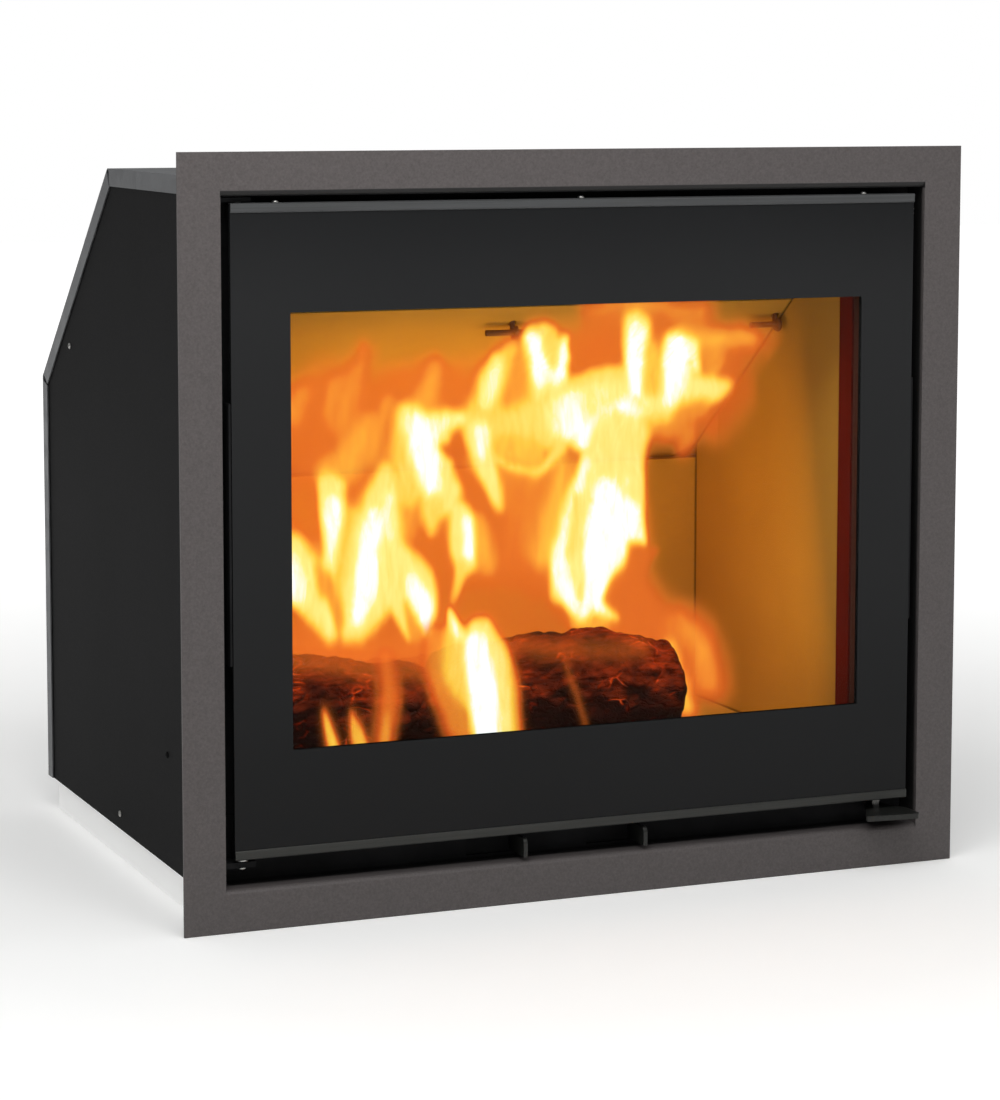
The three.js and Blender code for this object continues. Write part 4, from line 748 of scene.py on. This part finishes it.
def ember_heap():
    """A low bed of ash and embers over the grate and the floor bricks."""
    corners = []
    for j in range(BED_ROWS + 1):
        for i in range(BED_COLUMNS + 1):
            x = BED_CORNER[0] + BED_SIZE[0] * i / BED_COLUMNS
            y = BED_CORNER[1] + BED_SIZE[1] * j / BED_ROWS
            edge = min(i, BED_COLUMNS - i) / BED_COLUMNS * 6
            edge = min(1.0, edge, min(j, BED_ROWS - j) / BED_ROWS * 5)
            lump = noise.fractal(Vector((x, y, 0)) * 0.045, 0.8, 2.1, 5)
            cell = noise.voronoi(Vector((x, y, 3)) * 0.07)[0][0]
            height = edge * (7 + 4.5 * lump + 5 * (0.5 - min(cell, 1.0)))
            corners.append(at(x, y, FIRE_FLOOR_Z + BED_LEAST + max(0.0, height)))
    faces = []
    across = BED_COLUMNS + 1
    for j in range(BED_ROWS):
        for i in range(BED_COLUMNS):
            k = j * across + i
            faces.append((k, k + 1, k + across + 1, k + across))
    return piece_from("ember_bed", corners, faces, ember_ash(), "body")


# ---- flames -----------------------------------------------------------------------------------
def under_baffle(u, v, depth, clear):
    """Where a line of sight meets a sheet that stands at a depth and leans out under the baffle."""
    ray = sight(u, v)
    start = at(*CAMERA)
    plane = start + ray * ((y_at(depth) - start.y) / ray.y)
    roof = at(0, *BAFFLE_HEAD)
    normal = Vector((0, BAFFLE_RISE, 1)).normalized()
    sunk = roof - normal * (clear / 1000)
    if (plane - sunk).dot(normal) <= 0:
        return plane
    return start + ray * ((sunk - start).dot(normal) / ray.dot(normal))


def smooth(value, low, high):
    t = np.clip((value - low) / (high - low), 0, 1)
    return t * t * (3 - 2 * t)


CURVE_STEPS = 6


def curve(points):
    """A smooth run through a stroke's points."""
    ends = [points[0], *points, points[-1]]
    run = []
    for p0, p1, p2, p3 in zip(ends[:-3], ends[1:-2], ends[2:-1], ends[3:]):
        for k in range(CURVE_STEPS):
            t = k / CURVE_STEPS
            between = []
            for a, b, c, d in zip(p0, p1, p2, p3):
                bend = (2 * a - 5 * b + 4 * c - d) * t * t + (3 * b - 3 * c + d - a) * t**3
                between.append(b + 0.5 * ((c - a) * t + bend))
            run.append(tuple(between))
    return run + [points[-1]]


def stroke_mask(points, soft, u, v):
    """How much of a grid point a stroke covers: whole inside its width and fading at its edge."""
    best = np.full_like(u, -1e9)
    run = curve(points)
    for (u0, v0, w0), (u1, v1, w1) in zip(run[:-1], run[1:]):
        du, dv = u1 - u0, v1 - v0
        along = np.clip(((u - u0) * du + (v - v0) * dv) / (du * du + dv * dv + 1e-9), 0, 1)
        off = np.hypot(u - u0 - along * du, v - v0 - along * dv)
        best = np.maximum(best, w0 + along * (w1 - w0) - off)
    return smooth(best, -soft * 0.7, soft * 0.45)


def swirl(u, v, seed, reach):
    """Picture points pushed about by a slow and a quick noise, so that strokes curl like fire."""
    out_u, out_v = u.copy(), v.copy()
    for index in np.ndindex(u.shape):
        slow = noise.noise_vector(Vector((u[index] / 45, v[index] / 80, seed)))
        quick = noise.noise_vector(Vector((u[index] / 12, v[index] / 26, seed + 9)))
        out_u[index] += reach * (slow.x + 0.45 * quick.x)
        out_v[index] += reach * (slow.y + 0.45 * quick.y)
    return out_u, out_v


def blur(field, across, down):
    """A soft copy of a grid, with a width along each row and another down each column."""
    for axis, width in ((1, across), (0, down)):
        reach = int(3 * width) + 1
        weights = np.exp(-0.5 * (np.arange(-reach, reach + 1) / width) ** 2)
        weights /= weights.sum()
        padded = np.pad(field, [(reach, reach) if a == axis else (0, 0) for a in (0, 1)], "edge")
        length = field.shape[axis]
        field = sum(w * np.take(padded, range(k, k + length), axis) for k, w in enumerate(weights))
    return field


def streaks(u, v, seed):
    """Fine upright streaks."""
    out = np.zeros_like(u)
    for index in np.ndindex(u.shape):
        out[index] = noise.fractal(Vector((u[index] / 9, v[index] / 52, seed)), 0.8, 2.0, 3)
    return out


# The blur of a moving flame, in pixels across and down, as a near and a far part and their shares.
NEAR_BLUR, FAR_BLUR = (1.1, 3.2), (4.0, 9.0)
NEAR_SHARE, FAR_SHARE = 0.74, 0.26
STREAK_SHARE = 0.05


def paint_heat(strokes, u, v, seed, reach, step):
    """The heat at each grid point: the strokes in turn, blurred as a moving flame is."""
    bent_u, bent_v = swirl(u, v, seed, reach)
    heat = np.zeros_like(u)
    for level, soft, points in strokes:
        heat += (level - heat) * stroke_mask(points, soft, bent_u, bent_v)
    near = blur(heat, *(width / step for width in NEAR_BLUR))
    far = blur(heat, *(width / step for width in FAR_BLUR))
    streaked = 1 + STREAK_SHARE * streaks(bent_u, bent_v, seed + 3)
    return (NEAR_SHARE * near + FAR_SHARE * far) * streaked


# How a sheet leaves its flat: by its heat and by a slow noise, in millimetres. Then where it fades
# out: over the last pixels at its right-hand end, near the side bricks and above the floor. It
# stays behind FIRE_FRONT, and quads fainter than FAINTEST are left out.
HEAT_BULGE, SWAY = 16, 7
END_FADE = 12
SIDE_FADE = (0, 0.008)
FLOOR_FADE = (0.001, 0.02)
FIRE_FRONT = y_at(50)
FAINTEST = 0.004


def flame_sheet(name, strokes, depth, clear, span, seed, reach, step):
    """Strokes painted as heat on a sheet that fills a span of the picture at a depth."""
    u0, u1, v0, v1 = span
    us = np.arange(u0, u1 + step, step)
    vs = np.arange(v0, v1 + step, step)
    u, v = np.meshgrid(us, vs)
    heat = paint_heat(strokes, u, v, seed, reach, step)
    heat *= smooth(-u, -u1, -u1 + END_FADE)
    floor_z = z_at(FIRE_FLOOR_Z)
    corners, inside = [], []
    for index in np.ndindex(u.shape):
        sway = noise.noise(Vector((u[index] / 40, v[index] / 70, seed)))
        bulge = HEAT_BULGE * min(1.0, heat[index]) + SWAY * sway
        point = under_baffle(u[index], v[index], depth - bulge, clear)
        heat[index] *= smooth(FIRE_HALF - abs(point.x), *SIDE_FADE)
        heat[index] *= smooth(point.z - floor_z, *FLOOR_FADE)
        corners.append(point)
        off_floor = point.z > z_at(FIRE_FLOOR_Z + 1)
        inside.append(abs(point.x) < FIRE_HALF and off_floor and point.y > FIRE_FRONT)
    faces = []
    columns = len(us)
    values = heat.ravel()
    for j in range(len(vs) - 1):
        for i in range(columns - 1):
            a = j * columns + i
            quad = (a, a + columns, a + columns + 1, a + 1)
            if all(inside[k] for k in quad) and max(values[k] for k in quad) > FAINTEST:
                faces.append(quad)
    used = sorted({k for face in faces for k in face})
    renumber = {k: n for n, k in enumerate(used)}
    made = piece_from(
        name,
        [corners[k] for k in used],
        [tuple(renumber[k] for k in face) for face in faces],
        FLAME,
        "body",
    )
    layer = made.data.attributes.new("flame_heat", "FLOAT", "POINT")
    layer.data.foreach_set("value", np.array([values[k] for k in used], np.float32))
    made.visible_shadow = False
    made.visible_diffuse = False


# A stroke is its heat, the softness of its edge, and a run of picture points with a half-width. A
# later stroke covers an earlier one.
HAZE = [
    (0.26, 42, [(330, 426, 52), (400, 436, 52), (520, 416, 56), (600, 386, 54)]),
    (0.30, 34, [(320, 520, 60), (440, 540, 90), (560, 540, 80)]),
    (0.32, 40, [(640, 375, 58), (690, 375, 36)]),
    (0.22, 40, [(694, 356, 22), (726, 370, 16)]),
    (0.19, 30, [(736, 345, 12), (764, 345, 8)]),
    (0.20, 26, [(732, 395, 18), (716, 424, 12)]),
    (0.29, 30, [(610, 600, 42), (648, 636, 30)]),
    (0.50, 38, [(680, 620, 4), (696, 644, 10), (708, 684, 8)]),
    (0.62, 12, [(670, 648, 4), (682, 680, 6), (690, 716, 7)]),
    (0.16, 30, [(452, 606, 24), (500, 612, 28), (540, 618, 24)]),
    (0.19, 14, [(304, 496, 14), (306, 520, 15)]),
    (0.24, 20, [(350, 436, 12), (346, 462, 6)]),
    (0.22, 24, [(392, 384, 12), (430, 378, 14), (456, 376, 8)]),
    (0.23, 18, [(466, 502, 8), (506, 514, 12)]),
    (0.20, 16, [(424, 545, 12), (440, 575, 10)]),
    (0.36, 30, [(410, 440, 20), (400, 500, 22)]),
    (0.27, 30, [(300, 640, 18), (380, 650, 24), (440, 650, 20)]),
    (0.37, 26, [(520, 470, 26), (536, 540, 16)]),
]

MIDDLE_FLAMES = [
    (0.42, 22, [(292, 412, 8), (300, 392, 8)]),
    (0.40, 22, [(344, 424, 8), (350, 392, 9), (362, 352, 5)]),
    (0.42, 16, [(330, 412, 5), (334, 388, 6)]),
    (0.52, 16, [(326, 474, 10), (344, 466, 13), (358, 442, 9), (366, 424, 4)]),
    (0.46, 14, [(366, 456, 7), (378, 424, 5), (388, 400, 3)]),
    (0.46, 16, [(392, 452, 8), (404, 500, 12), (406, 530, 7)]),
    (0.48, 20, [(438, 370, 7), (430, 392, 10), (418, 406, 8)]),
    (0.84, 7, [(331, 486, 13), (334, 520, 14), (332, 560, 11), (330, 590, 6)]),
    (0.86, 5, [(326, 484, 5), (342, 484, 5)]),
    (1.06, 8, [(333, 502, 9), (333, 530, 10), (334, 562, 7)]),
    (0.62, 14, [(354, 516, 9), (350, 556, 14), (346, 600, 12)]),
    (0.84, 12, [(385, 472, 6), (382, 500, 17), (378, 540, 24), (370, 590, 26), (354, 632, 10)]),
    (0.96, 9, [(389, 500, 7), (388, 528, 9), (393, 550, 6)]),
    (1.08, 9, [(376, 514, 5), (371, 550, 10), (364, 590, 9), (356, 622, 4)]),
    (0.86, 14, [(290, 548, 14), (302, 578, 22), (314, 606, 17), (330, 636, 6)]),
    (1.05, 10, [(290, 566, 9), (294, 594, 9)]),
    (0.46, 9, [(318, 566, 3), (327, 588, 8), (340, 622, 5)]),
    (0.90, 7, [(320, 604, 6), (333, 636, 3)]),
    (0.86, 11, [(392, 552, 14), (410, 578, 21), (422, 612, 11)]),
    (0.88, 8, [(388, 590, 9), (400, 614, 6), (409, 636, 2)]),
    (0.46, 7, [(406, 604, 2), (411, 618, 4), (416, 636, 4)]),
    (1.08, 7, [(412, 580, 6), (421, 604, 8), (426, 632, 3)]),
    (0.70, 12, [(404, 414, 9), (403, 450, 9), (412, 492, 11)]),
    (0.86, 11, [(412, 420, 12), (430, 446, 22), (442, 480, 22), (440, 508, 11)]),
    (0.99, 10, [(412, 422, 9), (438, 424, 12), (462, 416, 7)]),
    (1.08, 10, [(424, 430, 10), (426, 452, 12), (430, 480, 9), (433, 500, 3)]),
    (0.72, 9, [(432, 506, 10), (430, 530, 3)]),
    (0.22, 6, [(440, 448, 1), (456, 452, 10), (467, 438, 6), (472, 420, 2)]),
    (0.25, 9, [(459, 468, 6), (468, 488, 7), (480, 502, 9), (498, 514, 8)]),
    (0.72, 14, [(488, 404, 14), (500, 416, 16), (506, 440, 14)]),
    (0.88, 9, [(478, 410, 9), (478, 440, 12), (487, 472, 10), (501, 508, 3)]),
    (1.04, 8, [(480, 424, 5), (479, 452, 5)]),
    (0.66, 16, [(511, 350, 9), (497, 374, 15), (484, 404, 14)]),
    (0.97, 9, [(496, 358, 4), (491, 378, 8), (486, 400, 6)]),
    (0.44, 8, [(522, 350, 2), (519, 376, 10), (516, 402, 13)]),
    (0.52, 30, [(590, 312, 2), (640, 304, 5), (700, 312, 4)]),
    (0.54, 18, [(690, 338, 12), (748, 342, 6)]),
    (0.80, 12, [(541, 340, 16), (550, 386, 20)]),
    (1.08, 8, [(533, 340, 7), (541, 368, 10), (552, 386, 11), (561, 370, 7), (565, 342, 4)]),
    (0.74, 6, [(549, 334, 5), (550, 350, 6), (551, 362, 3)]),
    (0.76, 14, [(508, 426, 14), (540, 422, 24), (580, 410, 32), (650, 404, 26)]),
    (0.90, 12, [(560, 414, 18), (600, 400, 22), (650, 392, 16)]),
    (1.04, 11, [(574, 400, 9), (571, 430, 12)]),
    (1.08, 8, [(578, 446, 6), (604, 427, 12), (628, 410, 12), (648, 398, 6)]),
    (0.90, 8, [(650, 402, 9), (684, 399, 8), (718, 392, 5)]),
    (0.60, 10, [(504, 446, 10), (526, 451, 14)]),
    (0.84, 5, [(496, 458, 2), (520, 472, 3), (541, 467, 4), (560, 450, 5)]),
    (0.22, 4, [(582, 347, 14), (614, 345, 16)]),
    (0.22, 6, [(580, 366, 11), (606, 360, 12)]),
    (0.80, 6, [(572, 386, 5), (592, 380, 7), (624, 372, 6)]),
    (0.88, 10, [(637, 326, 12), (640, 370, 13), (644, 398, 11)]),
    (1.08, 8, [(638, 330, 8), (635, 356, 9), (639, 386, 7)]),
    (0.62, 8, [(654, 346, 5), (652, 386, 7)]),
    (0.90, 10, [(680, 348, 15), (680, 390, 17), (704, 388, 14), (724, 387, 6)]),
    (1.08, 8, [(680, 346, 10), (674, 374, 11), (669, 398, 8)]),
    (1.02, 7, [(694, 342, 6), (699, 366, 4)]),
    (0.44, 9, [(712, 352, 6), (716, 364, 8)]),
    (0.56, 12, [(642, 432, 10), (630, 442, 8)]),
    (0.42, 12, [(682, 414, 10), (702, 404, 8)]),
    (0.40, 14, [(664, 432, 8), (690, 430, 8), (684, 446, 6)]),
    (0.86, 10, [(618, 440, 28), (616, 480, 28)]),
    (0.86, 10, [(626, 480, 18), (632, 520, 12)]),
    (0.56, 14, [(562, 466, 6), (550, 510, 9), (542, 556, 8)]),
    (0.86, 9, [(592, 462, 12), (578, 510, 18), (569, 550, 17), (567, 592, 12)]),
    (1.04, 7, [
        (584, 462, 4), (576, 494, 5), (562, 528, 6), (558, 560, 6), (566, 592, 7), (580, 612, 6),
    ]),
    (1.10, 10, [
        (606, 486, 9), (608, 515, 17), (605, 545, 22), (598, 575, 15), (590, 600, 9), (584, 611, 6),
    ]),
    (1.08, 8, [(622, 512, 14), (634, 530, 12), (646, 544, 3)]),
    (0.74, 6, [(576, 500, 3), (571, 528, 4), (568, 554, 3)]),
    (0.28, 4, [(656, 552, 3), (632, 574, 10), (616, 594, 10), (624, 606, 8)]),
    (1.08, 5, [(592, 600, 7), (604, 609, 6), (615, 619, 2)]),
    (0.60, 14, [(576, 624, 3), (606, 622, 3)]),
    (0.52, 16, [(478, 532, 12), (486, 562, 8)]),
    (0.88, 8, [(459, 516, 9), (461, 540, 12), (465, 562, 9)]),
    (1.08, 6, [(468, 522, 5), (469, 546, 6), (463, 568, 4)]),
    (0.74, 7, [(462, 566, 7), (456, 586, 4), (450, 604, 1)]),
]

FRONT_FLAMES = [
    (0.14, 20, [(296, 654, 12), (360, 658, 14), (430, 664, 12)]),
    (0.08, 14, [(520, 646, 8), (560, 650, 8), (640, 646, 7)]),
    (0.34, 14, [(386, 656, 6), (388, 700, 9), (384, 738, 7)]),
    (0.40, 14, [(434, 634, 8), (436, 664, 10), (446, 692, 12), (462, 732, 12)]),
    (0.70, 12, [(456, 636, 12), (462, 672, 16), (476, 700, 12)]),
    (0.48, 8, [(500, 648, 6), (510, 690, 8), (516, 742, 7)]),
    (0.86, 10, [(480, 628, 11), (486, 660, 18), (492, 700, 18), (498, 744, 16)]),
    (1.10, 9, [(477, 640, 8), (480, 670, 11), (484, 702, 12), (487, 744, 12)]),
    (1.04, 6, [(450, 610, 2), (454, 622, 5), (461, 634, 5)]),
    (0.70, 4, [(324, 714, 1), (330, 732, 4), (336, 750, 5)]),
    (0.62, 5, [(352, 714, 1), (358, 734, 6), (364, 750, 7)]),
    (0.46, 5, [(388, 714, 1), (386, 732, 4), (384, 744, 4)]),
    (0.13, 6, [(566, 664, 1), (574, 690, 1.6), (586, 726, 1.6)]),
]

# The haze once more, at half its heat, for the sheet at the back.
BACK_FLAMES = [(level * 0.5, soft, points) for level, soft, points in HAZE]


def light_fire():
    """The fire on three sheets: each has its depth and its clearance under the baffle in
    millimetres, its span of the picture, and how finely it is painted."""
    flame_sheet(
        "flames_back", BACK_FLAMES, depth=236, clear=9,
        span=(270, 800, 292, 742), seed=1.0, reach=8.0, step=4.0,
    )
    flame_sheet(
        "flames_middle", HAZE + MIDDLE_FLAMES, depth=165, clear=24,
        span=(270, 790, 292, 740), seed=5.0, reach=6.0, step=2.2,
    )
    flame_sheet(
        "flames_front", FRONT_FLAMES, depth=72, clear=40,
        span=(284, 660, 590, 752), seed=8.0, reach=3.5, step=2.2,
    )


# ---- light and stage --------------------------------------------------------------------------
def lamp(name, kind, place, power, color):
    made = placed(name, bpy.data.lights.new(name, kind))
    made.location = place
    made.data.energy = power
    made.data.color = color
    return made


def area_light(name, place, target, size, power, color=(1, 1, 1)):
    made = lamp(name, "AREA", place, power, color)
    made.data.shape = "RECTANGLE"
    made.data.size, made.data.size_y = size
    made.rotation_euler = (Vector(target) - Vector(place)).to_track_quat("-Z", "Y").to_euler()
    return made


FIRE_COLOR = (1.0, 0.49, 0.045)
FIRE_LIGHT_SIZE = 0.04
# The lights within the flames, in the CAD's millimetres, each with its power.
FIRE_LIGHTS = [(-100, 185, 220, 0.26), (0, 190, 285, 0.07), (60, 180, 200, 0.02)]
ROOM_LIGHT = 0.10
SKY_LIGHT = 0.78
BACKDROP_LIGHT = 1.0


def room():
    """Soft light from all round and more from above, with a plain white backdrop."""
    world = bpy.data.worlds.new("studio")
    world.use_nodes = True
    tree = world.node_tree
    direction = tree.nodes.new("ShaderNodeSeparateXYZ")
    tree.links.new(tree.nodes.new("ShaderNodeTexCoord").outputs["Generated"], direction.inputs[0])
    height = tree.nodes.new("ShaderNodeMapRange")
    tree.links.new(direction.outputs["Z"], height.inputs["Value"])
    height.inputs["To Min"].default_value = ROOM_LIGHT
    height.inputs["To Max"].default_value = SKY_LIGHT
    seen = tree.nodes.new("ShaderNodeMapRange")
    path = tree.nodes.new("ShaderNodeLightPath")
    tree.links.new(path.outputs["Is Camera Ray"], seen.inputs["Value"])
    tree.links.new(height.outputs["Result"], seen.inputs["To Min"])
    seen.inputs["To Max"].default_value = BACKDROP_LIGHT
    background = tree.nodes["Background"]
    background.inputs["Color"].default_value = (1.0, 1.0, 1.0, 1)
    tree.links.new(seen.outputs["Result"], background.inputs["Strength"])
    bpy.context.scene.world = world


def studio():
    room()
    bpy.context.scene.view_settings.view_transform = "Standard"
    area_light("key", (-0.35, -0.9, 1.25), target=(0, -0.2, 0.5), size=(1.1, 0.5), power=9.5)
    area_light("top", (0.1, 0.1, 2.6), target=(0, 0.05, 0.3), size=(2.6, 2.6), power=3)
    glow = area_light(
        "fire_front", at(0, 66, 250), target=at(0, 286, 200), size=(0.36, 0.24), power=0.58,
        color=FIRE_COLOR,
    )
    glow.visible_camera = False
    glow.visible_glossy = False
    for index, (x, y, z, power) in enumerate(FIRE_LIGHTS):
        fire = lamp("fire_%d" % index, "POINT", at(x, y, z), power, FIRE_COLOR)
        fire.data.shadow_soft_size = FIRE_LIGHT_SIZE


FLOOR_TONE = (0.93, 0.93, 0.92)
FLOOR_GRAIN = 0.985
# The floor glows more with its distance from the insert, to meet the white backdrop.
FLOOR_GLOW = (0.16, 0.62)
FLOOR_GLOW_REACH = (0.5, 1.8)


def pale_floor():
    s = Shader("pale_floor")
    grain = s.noise(30, detail=3, roughness=0.5)
    low = tuple(c * FLOOR_GRAIN for c in FLOOR_TONE)
    tone = s.ramp(grain, (0.3, low), (0.7, FLOOR_TONE))
    s.set(Base_Color=tone, Roughness=0.85, Specular_IOR_Level=0.2)
    x, y, _ = s.axes()
    far = s.math("SQRT", s.math("ADD", s.math("MULTIPLY", x, x), s.math("MULTIPLY", y, y)))
    glow = s.level(far, *FLOOR_GLOW, *FLOOR_GLOW_REACH)
    s.set(Emission_Color=(1, 1, 1, 1), Emission_Strength=glow)
    return s.material


FLOOR_HALF = 9
FLOOR_Z = -0.2
# The hearth slab stands in from the casing's sides and back, and stops just below its underside.
CASING_HALF, CASING_BACK = 282, 428
SLAB_INSET = 6
SLAB_FRONT = 12
SLAB_GAP = 0.15


def floor():
    """A pale floor under the surround, with a low hearth slab that carries the casing."""
    pale = pale_floor()
    level = z_at(FLOOR_Z)
    corners = [(x * FLOOR_HALF, y * FLOOR_HALF, level) for x, y in ((-1, -1), (1, -1), (1, 1), (-1, 1))]
    ground = piece_from("floor", corners, [(0, 1, 2, 3)], pale, None, smooth=False)
    x, back = CASING_HALF - SLAB_INSET, CASING_BACK - SLAB_INSET
    outline = [(-x, SLAB_FRONT), (x, SLAB_FRONT), (x, back), (-x, back)]
    corners = [at(a, b, z) for z in (FLOOR_Z, ORIGIN_Z - SLAB_GAP) for a, b in outline]
    sides = [(0, 1, 5, 4), (1, 2, 6, 5), (2, 3, 7, 6), (3, 0, 4, 7), (4, 5, 6, 7)]
    slab = piece_from("hearth_slab", corners, sides, pale, None, smooth=False)


# ---- build ------------------------------------------------------------------------------------
CHAR = charred_wood()
FLAME = flame()

make_camera()
studio()
floor()
dress_frame()
add_screws()
charred_log("log_left", (-214, 126, 138), (-30, 124, 114), radius=45, seed=1.0)
charred_log("log_right", (-64, 148, 122), (131, 127, 122), radius=50, seed=4.0, sag=-6.0)
charred_log("log_back", (-180, 215, 116), (40, 226, 118), radius=34, seed=9.0)
ember_heap()
light_fire()
